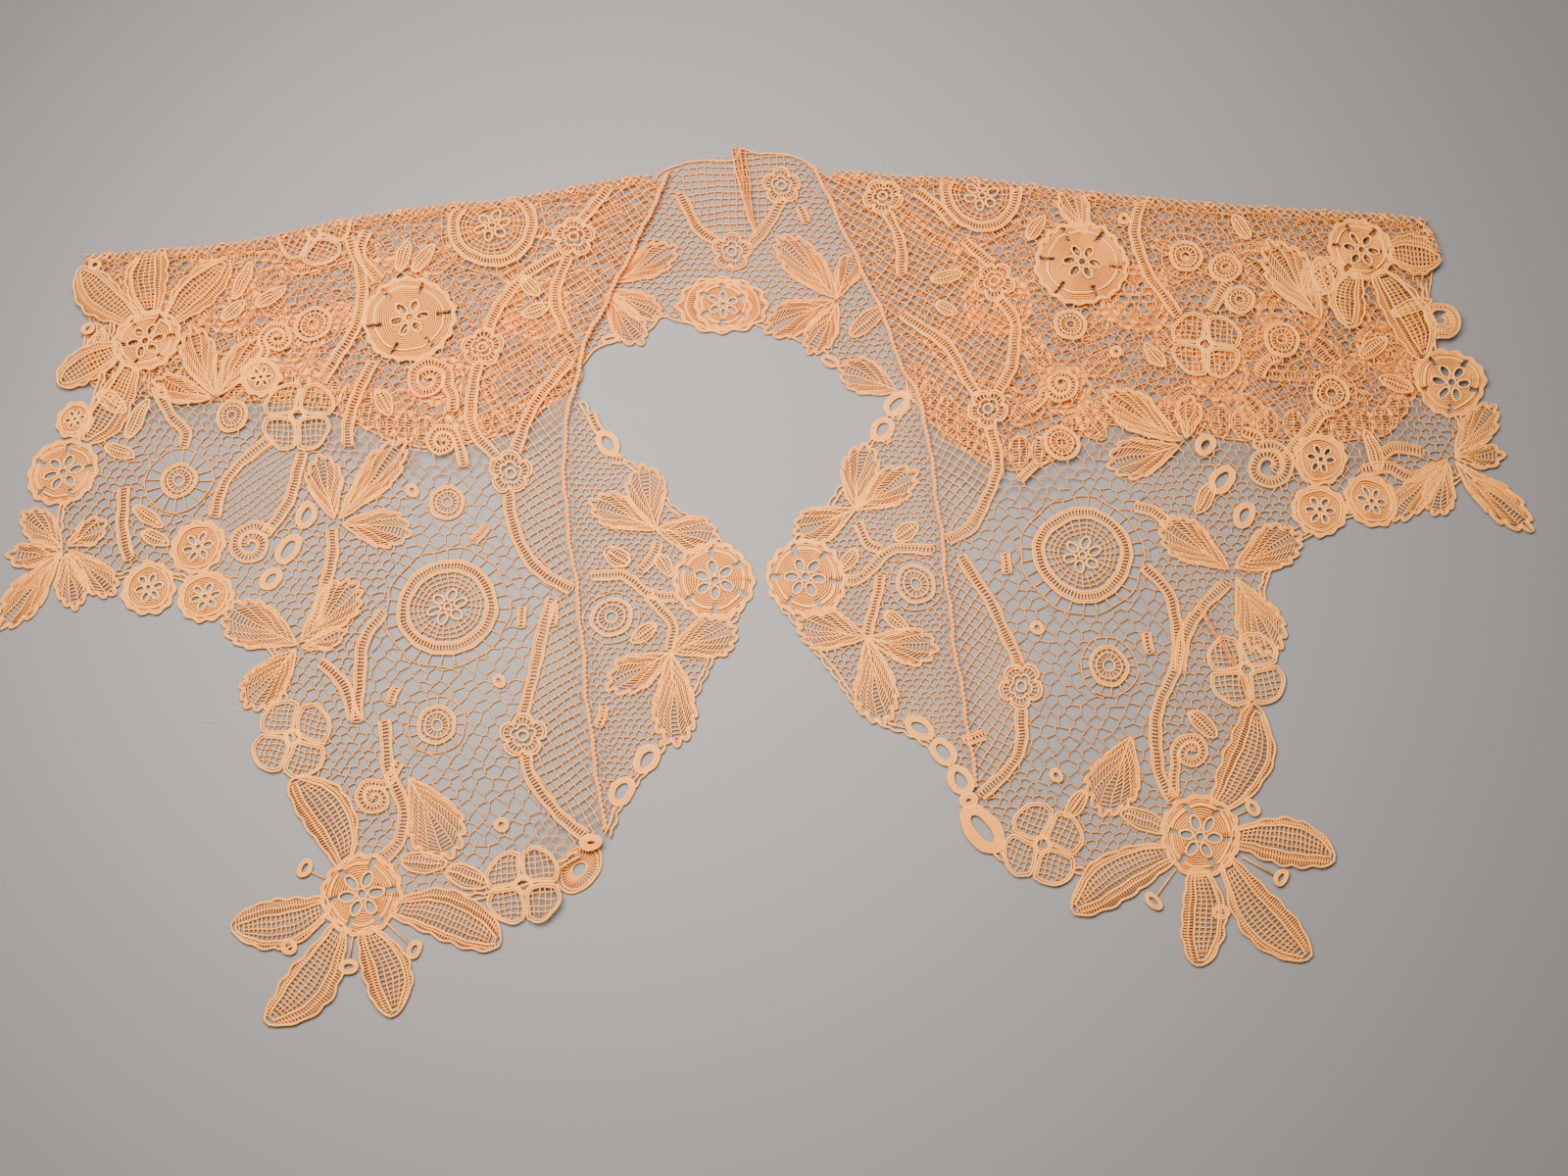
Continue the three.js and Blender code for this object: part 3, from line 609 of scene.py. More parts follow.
def lace_piece(name, lace, height, place=None):
    """Joins all the threads into one mesh, laid over the height."""
    verts, tones, faces = tubes(lace)
    drawn = verts[:, :2].copy()
    verts[:, :2] += waver(drawn)
    verts[:, 2] += height(drawn)
    if place is not None:
        verts = place(verts)
    mesh = bpy.data.meshes.new(name)
    mesh.vertices.add(len(verts))
    mesh.vertices.foreach_set("co", (verts * MM).astype(np.float32).ravel())
    sizes = np.concatenate([np.full(len(f), f.shape[1]) for f in faces])
    corners = np.concatenate([f.ravel() for f in faces])
    mesh.loops.add(len(corners))
    mesh.loops.foreach_set("vertex_index", corners.astype(np.int32))
    mesh.polygons.add(len(sizes))
    mesh.polygons.foreach_set("loop_start", np.r_[0, np.cumsum(sizes)[:-1]].astype(np.int32))
    mesh.polygons.foreach_set("use_smooth", np.ones(len(sizes), bool))
    mesh.update(calc_edges=True)
    mesh.attributes.new("tone", "FLOAT", "POINT").data.foreach_set("value", tones.astype(np.float32))
    mesh.validate()
    piece = bpy.data.objects.new(name, mesh)
    bpy.context.scene.collection.objects.link(piece)
    return piece


def thread_finish(name, deep, plain, pale, blush):
    """Matte cotton thread: paler where it is corded, deeper in the cloth stitch, uneven in its dye. The same
    tone also carries painted shade and painted light where threads are given it.
    """
    material = bpy.data.materials.new(name)
    material.use_nodes = True
    nodes, links = material.node_tree.nodes, material.node_tree.links

    def fill(node, inputs):
        for socket, value in inputs.items():
            if isinstance(value, bpy.types.NodeSocket):
                links.new(value, node.inputs[socket])
            else:
                node.inputs[socket].default_value = value
        return node

    def math_node(operation, *values):
        node = nodes.new("ShaderNodeMath")
        node.operation = operation
        return fill(node, dict(enumerate(values))).outputs[0]

    def spread(value, low, high, top=1.0):
        node = fill(nodes.new("ShaderNodeMapRange"),
                    {"Value": value, "From Min": low, "From Max": high, "To Max": top})
        return node.outputs["Result"]

    where = nodes.new("ShaderNodeTexCoord").outputs["Object"]
    tone = nodes.new("ShaderNodeAttribute")
    tone.attribute_name = "tone"
    stain, mottle, fibre = (
        fill(nodes.new("ShaderNodeTexNoise"), {"Vector": where, "Scale": size, "Detail": fine}).outputs["Fac"]
        for size, fine in ((22, 3), (160, 2), (2600, 2)))
    uneven = math_node("ADD", tone.outputs["Fac"], math_node("MULTIPLY_ADD", mottle, 0.5, -0.25))
    ramp = fill(nodes.new("ShaderNodeValToRGB"), {"Fac": spread(uneven, -1, 1)})
    for element, place, color in zip(ramp.color_ramp.elements, (0.1, 0.95), (deep, pale)):
        element.position = place
        element.color = (*color, 1)
    ramp.color_ramp.elements.new(0.5).color = (*plain, 1)
    dye = nodes.new("ShaderNodeMix")
    dye.data_type = "RGBA"
    fill(dye, {"Factor": spread(stain, 0.4, 0.75, 0.45), "A": ramp.outputs["Color"], "B": (*blush, 1)})
    bump = fill(nodes.new("ShaderNodeBump"), {"Strength": 0.35, "Distance": 0.0002, "Height": fibre})
    fill(nodes["Principled BSDF"], {
        "Base Color": dye.outputs["Result"], "Normal": bump.outputs["Normal"], "Roughness": 0.82,
        "Sheen Weight": 0.12, "Sheen Roughness": 0.5, "Sheen Tint": (1.0, 0.72, 0.45, 1),
        "Specular IOR Level": 0.15})
    return material


def back_height(p):
    """The back lies on the surface. Its small pleat at the middle of the neck stands up from it."""
    from_pleat = p[:, 0] + 12 - 0.17 * (158 - p[:, 1])
    raised = np.exp(-(from_pleat / 2.4) ** 2) * np.clip((p[:, 1] - 124) / 14, 0, 1)
    return LOW + 0.6 * ripple(p) + 1.7 * raised


neck_edge = [(-74, 70), (-67, 79), (-58, 83), (-48, 86), (-42, 92), (-34, 90), (-18, 89), (-7, 89), (1, 86),
             (12, 81), (20, 78), (26, 72), (30, 65), (40, 62), (53, 61)]
inner_left = beside(smooth(left_fold, 8), 3.3)[::-1]
inner_right = beside(smooth(right_fold, 8), -3.3)
neck_top = [(-44, 156), (-33, 160), (-15, 161), (-12, 166), (-5, 164), (6, 163), (14, 160)]
back_outline = np.vstack([inner_left, neck_top, inner_right, right_hem[::-1], neck_edge[::-1],
                          left_hem[::-1]])

back = Lace()
nape_x, nape_y = -19, 97
for inset, radius, tone in ((0, GIMP, 0.7), (0.9, TAPE, 0.1), (3.0, CORD, 0.9)):
    back.loop(ring(nape_x, nape_y, 17 - inset, 11.8 - 0.25 * inset, 1.2, 0.05 if inset < 1 else 0, 12),
              radius, 0.25, tone)
turn = around(84)
back.rung((nape_x, nape_y) + turn * (10.8, 10.6), (nape_x, nape_y) + turn * (16.2, 11.4), 0.43, 0, -0.1)
back.taken.append(ring(nape_x, nape_y, 17, 11.8, 3))
back.disc(nape_x, nape_y, 10.6, slits=6, turn=0.5)
for x, y, r in ((-16, 120, 7.6), (4, 149, 7.6)):
    back.blossom(x, y, r)
back.tape([(-37, 146), (-30, 132), (-22, 124)])
back.tape([(-9, 123), (-2, 131), (4, 144)])
for leaflet in ((-62, 106, -37, 123, 13), (-64, 103, -42, 92, 12), (-65, 102, -50, 80, 13),
                (26, 100, 2, 127, 16), (25, 99, -3, 86, 15), (26, 98, 14, 76, 12), (26, 100, 33, 120, 11)):
    back.leaflet(*leaflet)
back.leaf(30, 84, 44, 96, 7)
back.leaflet(48, 61, 26, 71, 15)
back.oval(23, 73.5, 3.6, 2.0, -20)
back.oval(-62, 83, 3.4, 1.8, 10)
back.bar(12, 136, 8, 115)
# Under the fronts: large flowers, tapes between them, and lobes along the hidden hem. Their tone is raised
# paler as painted light, to offset the shade and orange cast they take under the fronts.
shown_threads, shown_rungs = len(back.threads), len(back.rungs)
for x, y, r in ((-92, 96, 13), (-128, 66, 10), (-148, 104, 14), (-184, 82, 11), (-212, 98, 12), (-244, 92, 9),
                (88, 98, 13), (112, 62, 10), (142, 100, 14), (172, 68, 11), (202, 94, 13), (236, 80, 10)):
    back.disc(x, y, r)
    for k in range(4):
        a = 0.6 + k * math.pi / 2
        out = np.array([math.cos(a), math.sin(a)])
        back.leaf(*((x, y) + r * out), *((x, y) + (r + 15) * out), 9)
for hem in (left_hem, right_hem):
    border = smooth(hem, 9)
    for (x, y), (ahead_x, ahead_y) in zip(border[:-1], border[1:]):
        back.leaf((x + ahead_x) / 2, y + 13, (x + ahead_x) / 2, (y + ahead_y) / 2, 8)
for points in ([(-60, 140), (-84, 128), (-104, 132), (-130, 124)], [(-92, 80), (-108, 66), (-104, 52)],
               [(-162, 120), (-184, 112), (-196, 118), (-226, 114)], [(-196, 72), (-220, 76), (-244, 76)],
               [(50, 140), (72, 122), (98, 132), (124, 128)], [(60, 84), (72, 68), (96, 58)],
               [(150, 124), (172, 112), (190, 122), (226, 112)], [(186, 68), (210, 66), (228, 58)]):
    back.tape(points)
# Painted light: this tone raise makes the threads under the fronts paler, against the shade they lie in.
PAINTED_LIGHT_LIFT = 0.4
back.threads[shown_threads:] = [
    (points, radius, lift, tone + PAINTED_LIGHT_LIFT, closed, sides)
    for points, radius, lift, tone, closed, sides in back.threads[shown_threads:]]
for rungs in back.rungs[shown_rungs:]:
    rungs[:, 6] += PAINTED_LIGHT_LIFT
# The pleat's threads and rungs get deeper tones across its middle and far side, as painted shade of the fold.
# Its one lighter edge thread is a painted highlight on the fold's edge.
pleat = smooth([(-13, 166), (-12, 153), (-9, 139), (-6, 127)])
taper = np.linspace(2.8, 0.5, len(pleat))[:, None]
for share, tone in ((-1, 0.2), (-0.4, -0.6), (0.3, -0.9), (1, -0.6)):
    back.thread(beside(pleat, share * taper), 0.4, 0.2, tone)
back.rung(beside(pleat, -taper), beside(pleat, taper), 0.34, 0.1, -0.5)
back_edge = smooth(back_outline, 2.0)
nape = [(-37, 148), (-34, 160), (-12, 165), (8, 163), (4, 149), (-2, 134), (-9, 124), (-22, 124), (-30, 132)]
back.square_net(nape, 2.9, 4)
window = np.vstack([neck_edge, [(34, 110)], neck_top[::-1], [(-64, 108)]])
back.mesh_ground(window, 3.3, 0.5, others=[nape], seed=3)
back.mesh_ground(back_outline, 4.7, 0.7, others=[window], seed=3)
for wing in (np.vstack([inner_left, smooth(left_seam, 8)[:8], left_hem[::-1]]),
             np.vstack([inner_right, right_hem[::-1], smooth(right_seam, 8)[10::-1]])):
    back.square_net(wing, 4.6, 20)
back.clip([np.vstack([back_edge, back_edge[:1]])], back.free, CORD, 0.2, 0.4, sides=4)

back_piece = lace_piece("back_lace", back, back_height)
back_piece.data.materials.append(thread_finish(
    "back_thread", (0.60, 0.17, 0.027), (0.90, 0.325, 0.05), (0.98, 0.42, 0.083), (0.88, 0.28, 0.038)))
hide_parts("back_neck", "back_left_wing", "back_right_wing")
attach(back_piece, "root")

# ---- Fronts ----
# Each front is one piece with the back, folded over at the shoulder. It carries a star flower at its point
# and one at its outer corner, big discs, wheels, leaf sprays and tapes, in nets of three kinds.


def front_height(hem, corner=None):
    """A front lies on the back and comes down to the surface past the back's hem. It rises a little to its
    seam, and over the turned-under corner if it has one."""
    hem_x, hem_y = np.array(hem).T
    seam = smooth(left_seam if corner else right_seam, 8)
    slope = 14

    def height(p):
        beyond = np.interp(p[:, 0], hem_x, hem_y) - p[:, 1] - 5
        if corner:
            beyond = np.minimum(beyond, np.hypot(p[:, 0] - corner[0], p[:, 1] - corner[1]) - slope)
        lifted = np.clip(1 - beyond / slope, 0, 1)
        lifted = lifted * lifted * (3 - 2 * lifted)
        ridge = np.exp(-(away(p, seam) / 4.0) ** 2)
        return LOW + UPPER * lifted + ripple(p) + 0.9 * ridge
    return height


left = Lace()
for x, y, r, slits in ((-240, 81, 12.5, 6), (-140, 90, 17.5, 6), (-141, -126, 13.5, 6), (-266, 28, 12.9, 5),
                       (-212, -1, 9.8, 0), (-228, -17, 9.7, 0), (-207, -20, 9.7, 0), (-195, 66, 7.5, 0),
                       (-264, 49, 7.0, 0)):
    left.disc(x, y, r, slits=slits, turn=0.2)
for petal in ((-246, 89, -271, 111, 15, 0.05, 1), (-240, 92, -243, 122, 15, 0.06, -1),
              (-233, 89, -213, 115, 15, 0.0, -1), (-249, 78, -272, 63, 13, -0.05, -1),
              (-245, 72, -260, 39, 14, 0.08, 1), (-147, -116, -168, -86, 16, -0.1, 1),
              (-152, -129, -184, -137, 15.5, 0.08, -1),
              (-147, -136, -169, -168, 15.5, 0.1, 1), (-138, -137, -126, -165, 15, 0.05, -1),
              (-130, -130, -92, -142, 15.5, 0.08, 1)):
    left.petal(*petal)
for leaflet in (
        # wing tip
        (-262, -2, -278, 13, 12), (-262, -4, -282, -4, 10), (-262, -4, -281, -32, 14),
        (-260, -4, -254, -25, 12), (-259, -3, -240, -19, 12), (-260, -1, -247, 9, 11),
        # middle spray
        (-162, 10, -171, 35, 13), (-160, 10, -138, 40, 15), (-159, 8, -133, 4, 15),
        # low spray
        (-171, -38, -200, -25, 18), (-170, -37, -151, -14, 16), (-169, -39, -154, -33, 8),
        (-172, -40, -188, -61, 16),
        # lobed leaf
        (-213, 57, -236, 64, 11), (-212, 58, -224, 87, 13), (-211, 58, -197, 82, 13),
        # heart leaf
        (-127, -86, -110, -114, 19)):
    left.leaflet(*leaflet)
for leaf in ((-208, 98, -204, 114, 5), (-200, 95, -189, 104, 5), (-212, 90, -204, 97, 5),
             (-146, 110, -143, 123, 5), (-140, 110, -133, 122, 5), (-238, 14, -226, 7, 5),
             (-233, 4, -223, 0, 5), (-252, 38, -240, 35, 5), (-112, -118, -97, -122, 7),
             (-128, -114, -112, -116, 7), (-256, 60, -244, 52, 6), (-244, 42, -236, 56, 5),
             (-98, 108, -90, 100, 5), (-96, 92, -86, 96, 5), (-150, 60, -144, 50, 6)):
    left.leaf(*leaf)
left.wheel(-118, -24, 17.9)
left.wheel(-110, 130, 17.5, halo=3)
for wheel in ((-204, 50, 6, 0), (-222, 25, 6.4, 12.5), (-177, 88, 6.8, 10), (-121, 16, 6.6, 0),
              (-119, -67, 7, 10.5)):
    left.target(*wheel)
for flower in ((-78, 125, 7.8), (-111, 78, 7.6), (-98, 28, 7.7), (-88, -71, 7.7)):
    left.blossom(*flower)
for flower in ((-179, 50, 14.5, 0.75), (-180, 127, 14.5, 0.4), (-170, -72, 14.5, 0.6), (-85, -123, 14, 0.9)):
    left.net_flower(*flower)
for points in (
        [(-65, 148), (-72, 136), (-76, 131)], [(-83, 118), (-97, 108), (-105, 96), (-110, 85)],
        [(-80, 117), (-84, 98), (-79, 84)], [(-112, 71), (-114, 60), (-112, 44), (-103, 33)],
        [(-77, 73), (-89, 56), (-96, 36)], [(-98, 20), (-94, 2), (-83, -12), (-73, -18)],
        [(-80, -21), (-85, -45), (-88, -64)], [(-87, -78), (-84, -86), (-75, -98), (-64, -106)],
        [(-166, 125), (-160, 108), (-159, 92), (-167, 72), (-172, 64)],
        [(-159, 128), (-161, 118), (-153, 106)],
        [(-152, 72), (-159, 54), (-159, 38)], [(-189, 42), (-203, 27), (-207, 10)],
        [(-177, 36), (-179, 19), (-187, 4)], [(-163, 6), (-162, -10), (-167, -30)],
        [(-234, 62), (-227, 50), (-221, 44), (-222, 38)], [(-242, 22), (-241, 8), (-236, -6)],
        [(-141, -26), (-147, -37), (-148, -52), (-147, -66)], [(-162, -44), (-154, -52), (-148, -65)],
        [(-138, -66), (-135, -81), (-129, -96), (-129, -108), (-134, -114)]):
    left.tape(points)
left.curl([(-131, -80), (-133, -85)], -139, -93, 5.6, 60)
left.curl([(-115, 30), (-117, 36)], -124, 40, 5.8, 0)
left.curl([(-120, 52), (-121, 58)], -131, 65, 8.2, -20, half_width=1.9)
for bar in ((-108, 4, 9, 55), (-91, -28, 8, 90), (-79, -27, 8, 90), (-135, -57, 7, 70), (-60, -64, 8, 70)):
    left.bar(*bar)
for link in ((-173, 11, 5.2, 3.6, 70), (-178, -2, 5.6, 3.8, 55), (-184, -13, 4.6, 3.2, 45),
             (-62, -108, 3.4, 2.6, 0)):
    left.oval(*link)
for x, y in ((-134, 21), (-98, -51), (-94, -102), (-264, 86), (-265, 113)):
    left.oval(x, y, 2.2, 2.2)
left.picots(-141, -126, ((-161, -117), (-164, -143), (-143, -150), (-121, -144)))
left.curl([], -192, 0, 7.8, 30, half_width=1.9)
left.curl([(-196, 72), (-194, 76)], -190, 82, 5.6, 190, -1)

left_top = beside(smooth(left_fold, 6), 2.6)[::-1]
left_neck = beside(smooth(left_seam, 6), -1.2)
left_rest = [(-66, -112), (-76, -118), (-90, -124), (-110, -127), (-135, -126), (-146, -112), (-156, -96),
             (-164, -84), (-170, -74), (-174, -58), (-178, -44), (-188, -32), (-200, -20), (-214, -13),
             (-230, -11), (-244, -12), (-258, -10), (-264, 2), (-262, 30), (-260, 46), (-256, 62), (-254, 84),
             (-258, 104)]
left_outline = np.vstack([left_top, left_neck, left_rest])
left_square = np.vstack([left_neck, [(-64, -107), (-75, -99), (-85, -86), (-88, -64), (-83, -37), (-79, -21),
                                     (-72, -18), (-83, -12), (-94, 2), (-98, 28), (-112, 45), (-114, 60),
                                     (-111, 78), (-105, 96), (-83, 118), (-72, 136), (-65, 148)]])
left_lens = [(-189, 42), (-203, 27), (-208, 10), (-196, 0), (-187, 4), (-179, 19), (-177, 36)]
left_open = [(-118, 47), (-104, 38), (-98, 20), (-92, -2), (-80, -16), (-86, -50), (-90, -80), (-78, -98),
             (-86, -108), (-100, -116), (-125, -112), (-128, -84), (-147, -66), (-144, -36), (-138, -8),
             (-135, 30)]
left.square_net(left_square, 3.0, 34)
left.square_net(left_lens, 2.5, 40, 0.22)
left.mesh_ground(left_open, 5.2, 1.0, 0.31, others=[left_square], seed=1)
left.mesh_ground(left_outline, 4.05, 0.65, others=[left_square, left_lens, left_open], seed=2)
left_edge = smooth(left_rest, 2.5)
left.clip([scalloped(left_edge), beside(left_edge, 0.9)], left.free, CORD, 0.2, 0.4, sides=4)

front_finish = thread_finish(
    "front_thread", (0.66, 0.205, 0.032), (0.94, 0.37, 0.058), (1.0, 0.47, 0.098), (0.92, 0.33, 0.046))
left.thread(smooth([(-184, -56), (-189, -62), (-194, -61), (-198, -66), (-203, -66)]), 0.13, -0.5, 0.6)
left.trim(np.vstack([beside(smooth(left_fold, 6), 2.0), [(-400, 118), (-400, -250), (20, -250), (20, 154)]]))

left_piece = lace_piece("left_front_lace", left, front_height(left_hem, (-66, -117)))
left_piece.data.materials.append(front_finish)
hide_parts("left_front")
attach(left_piece, "root")

right = Lace()
for x, y, r, slits in ((231, 120, 12.8, 6), (121, 114, 17.7, 6), (150, -106, 13.7, 6), (259, 64, 13.1, 5),
                       (206, 33, 9.8, 0), (204, 13, 9.8, 0), (224, 17, 9.8, 0)):
    right.disc(x, y, r, slits=slits, turn=0.9)
for petal in ((240, 119, 262, 117, 15, 0.0, 1), (236, 110, 250, 73, 16, 0.08, -1),
              (228, 110, 223, 86, 13, -0.1, 1), (222, 115, 208, 101, 13, 0.0, -1),
              (156, -97, 174, -60, 15.5, -0.1, 1), (161, -107, 196, -114, 15, 0.08, -1),
              (158, -114, 184, -147, 15, -0.08, 1), (148, -117, 146, -149, 14.5, 0.06, -1),
              (140, -112, 104, -131, 15.5, -0.06, 1)):
    right.petal(*petal)
for leaflet in (
        # spray beside the small discs
        (169, -10, 144, 9, 16), (171, -9, 196, 4, 17), (171, -13, 183, -43, 17),
        # spray above the large wheel
        (153, 38, 126, 30, 15), (154, 40, 126, 60, 16), (156, 41, 160, 58, 10),
        # wing tip
        (257, 35, 276, 55, 12), (257, 34, 276, 35, 10), (257, 32, 282, 5, 14), (254, 31, 247, 11, 12),
        (254, 33, 231, 9, 12),
        # tulip, heart and bud leaves
        (212, 90, 195, 124, 19), (128, -72, 116, -99, 19), (124, 126, 116, 148, 12)):
    right.leaflet(*leaflet)
right.oval(74, -104, 9, 6, 125)
for leaf in ((166, 24, 158, 12, 5), (139, -104, 123, -98, 7), (111, -90, 103, -100, 5), (228, 28, 224, 44, 5),
             (236, 82, 226, 74, 6), (244, 60, 232, 66, 6), (240, 92, 256, 98, 5), (188, 124, 182, 135, 5),
             (150, 70, 144, 80, 5), (150, -62, 158, -72, 6), (216, 100, 214, 116, 8), (100, 124, 108, 134, 5),
             (62, 106, 74, 110, 5), (64, 96, 72, 92, 5)):
    right.leaf(*leaf)
right.wheel(115, -4, 18.1)
right.wheel(83, 144, 16, halo=3)
for wheel in ((122, -46, 7.1, 10.5), (196, 81, 6.8, 10), (213, 59, 6.7, 9.5), (109, 39, 6.7, 0),
              (162, 117, 6.2, 9.5), (115, 88, 6.1, 0), (177, 112, 6.0, 0), (182, 98, 5.6, 0)):
    right.target(*wheel)
right.curl([(178, 44), (184, 41)], 186, 30, 8.8, 110, -1, half_width=1.9)
for x, y, r in ((44, 143, 7.6), (87, 106, 7.7), (82, 53, 7.6), (90, -53, 7.8)):
    right.blossom(x, y, r, 0.9)
for flower in ((167, 79, 14.4, 0.7), (171, -47, 14.5, 0.9), (95, -109, 14.4, 0.4)):
    right.net_flower(*flower)
for points in (
        [(57, 146), (66, 138), (72, 130)], [(76, 124), (86, 113)], [(88, 99), (94, 88), (92, 71), (86, 60)],
        [(83, 46), (84, 27), (75, 8), (65, 1)], [(50, 92), (67, 79), (78, 59)],
        [(46, 136), (50, 124), (51, 109)], [(70, -5), (79, -20), (87, -38), (89, -46)],
        [(90, -61), (87, -79), (74, -92)], [(146, 141), (143, 127), (145, 114), (151, 102), (157, 91)],
        [(138, -9), (145, -18), (148, -32), (146, -45), (140, -58), (137, -70), (137, -83), (142, -94)],
        [(167, -15), (158, -24), (150, -36), (147, -48)], [(136, 15), (142, 13), (148, 7)],
        [(193, 33), (201, 42), (208, 50), (213, 52)], [(186, 66), (190, 72), (195, 74)],
        [(170, 94), (174, 100), (178, 106)], [(228, 34), (236, 38), (246, 36)],
        [(222, 28), (232, 30), (240, 26), (250, 30)]):
    right.tape(points)
right.curl([(142, -92), (143, -84)], 149, -77, 5.8, 170, -1)
right.curl([(98, 52), (103, 57)], 110, 63, 6, 200)
right.curl([], 258, 90, 7.5, 250, half_width=1.3)
for bar in ((96, 27, 9, 45), (87, -7, 8, 90), (137, -37, 8, 100), (73, -72, 8, 20)):
    right.bar(*bar)
for link in ((163, 38, 4.2, 3.4, 60), (169, 25, 5.6, 3.8, 55), (176, 11, 5.2, 3.6, 50),
             (70, -94, 3.2, 2.6, 30)):
    right.oval(*link)
for x, y in ((97, -32), (101, -85), (132, 76), (139, 133)):
    right.oval(x, y, 2.2, 2.2)
right.picots(150, -106, ((169, -96), (177, -120), (155, -132), (132, -128)))

right_top = beside(smooth(right_fold, 6), -2.6)[::-1]
right_neck = beside(smooth(right_seam, 6), 1.2)
right_rest = [(70, -93), (71, -104), (82, -114), (95, -116), (110, -118), (128, -117), (146, -108),
              (158, -92), (164, -76), (171, -62), (176, -48), (180, -34), (180, -18), (188, -3), (202, 6),
              (214, 11), (228, 13), (242, 17), (254, 23), (262, 32), (262, 46), (258, 62), (254, 80),
              (254, 106)]
right_outline = np.vstack([right_top, right_neck, right_rest])
right_square = np.vstack([right_neck, [(74, -92), (87, -79), (90, -61), (88, -40), (80, -20), (70, -5),
                                       (65, 1), (75, 8), (84, 27), (83, 46), (92, 71), (94, 88), (88, 99),
                                       (86, 113), (72, 130), (57, 146)]])
right_lens = [(172, 72), (186, 66), (198, 54), (193, 40), (180, 38), (170, 48)]
right_open = [(98, 47), (88, 40), (86, 27), (76, 6), (72, -2), (82, -20), (90, -44), (92, -66), (88, -80),
              (98, -92), (118, -98), (136, -88), (138, -70), (147, -42), (147, -28), (140, -9), (148, 8),
              (130, 28)]
right.square_net(right_square, 3.0, 56)
right.square_net(right_lens, 2.5, 40, 0.22)
right.mesh_ground(right_open, 5.2, 1.0, 0.31, others=[right_square], seed=5)
right.mesh_ground(right_outline, 3.9, 0.65, others=[right_square, right_lens, right_open], seed=4)
right_edge = smooth(right_rest, 2.5)
right.clip([scalloped(right_edge, depth=-1.1), beside(right_edge, -0.9)], right.free, CORD, 0.2, 0.4, sides=4)

right.trim(np.vstack([beside(smooth(right_fold, 6), -2.0),
                      [(400, 118), (400, -250), (-20, -250), (-20, 156)]]))
# Two threads along the crease in the deepest tone: painted shade of the fold.
for offset in (-0.4, 0.5):
    crease = smooth([(156, -24), (161, -34), (165, -42), (169, -51), (172, -62)])
    right.thread(beside(crease, offset), TAPE, 0.1, -1.0)
plain_right = front_height(right_hem)


def creased(p):
    """The right front, with the small crease above its pointed flower."""
    fold = away(p, np.array([(157, -26), (161, -34), (165, -42), (169, -51), (171, -60)], float))
    return plain_right(p) + 1.4 * np.exp(-(fold / 2.2) ** 2)


right_piece = lace_piece("right_front_lace", right, creased)
right_piece.data.materials.append(front_finish)
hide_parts("right_front")
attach(right_piece, "root")

# ---- Turned-under corner ----
# The lowest inner corner of the left front is tucked under itself. One oval lobe of its border peeks out.
corner = Lace()
middle, half_long, half_wide = (-66, -117), 9.2, 6.2
for share, radius, tone in ((1.0, GIMP, 0.8), (0.86, 0.4, 0.2), (0.34, 0.4, 0.5)):
    corner.loop(ring(*middle, half_long * share, half_wide * share, 1.0, turn=math.radians(45)),
                radius, 0.1, tone)
lobe = around(34) * (half_long, half_wide) @ np.array([[1, 1], [-1, 1]]) * math.sqrt(0.5)
corner.rung(middle + lobe * 0.36, middle + lobe * 0.88, FINE, 0, 0.1)
corner_piece = lace_piece("left_corner_lace", corner, lambda p: np.full(len(p), LOW))
corner_piece.data.materials.append(front_finish)
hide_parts("left_front_corner")
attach(corner_piece, "root")

# ---- Revers ----
# The turned-back lapels between the neck cords and the open middle. Each has one large flower head at its
# point and two leaf sprays on stems of tape, in the square net.
revers_finish = thread_finish(
    "revers_thread", (0.70, 0.23, 0.04), (0.96, 0.395, 0.073), (1.0, 0.485, 0.115), (0.94, 0.345, 0.058))


def revers(name, node, flower, sprays, leaves, tapes, wheel, ovals, seam, edge, inward, slant):
    """One lapel, drawn from its own flower, sprays and edge."""
    lace = Lace()
    lace.disc(*flower, slits=6, turn=slant)
    for root_x, root_y, tips in sprays:
        for tip_x, tip_y, width in tips:
            lace.leaflet(root_x, root_y, tip_x, tip_y, width)
    for leaf in leaves:
        lace.leaf(*leaf)
    lace.target(*wheel, 7.2, 9.8)
    for points in tapes:
        lace.tape(points, 1.7)
    for x, y, turn in ovals:
        lace.oval(x, y, 5.4, 3.8, turn)
    border = smooth(edge, 2.5)
    side = beside(seam, 1.2 * inward)
    panel = np.vstack([side[::-1], border])
    lace.mesh_ground(panel, 2.9, 0.4)
    lace.clip([scalloped(border, depth=-1.1 * inward), beside(border, -0.9 * inward)], lace.free,
              CORD, 0.2, 0.4, sides=4)

    def height(p):
        return LOW + 0.8 * ripple(p) + 1.3 * np.exp(-(away(p, seam) / 3.5) ** 2)

    piece = lace_piece(name, lace, height)
    piece.data.materials.append(revers_finish)
    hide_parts(node)
    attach(piece, "root")


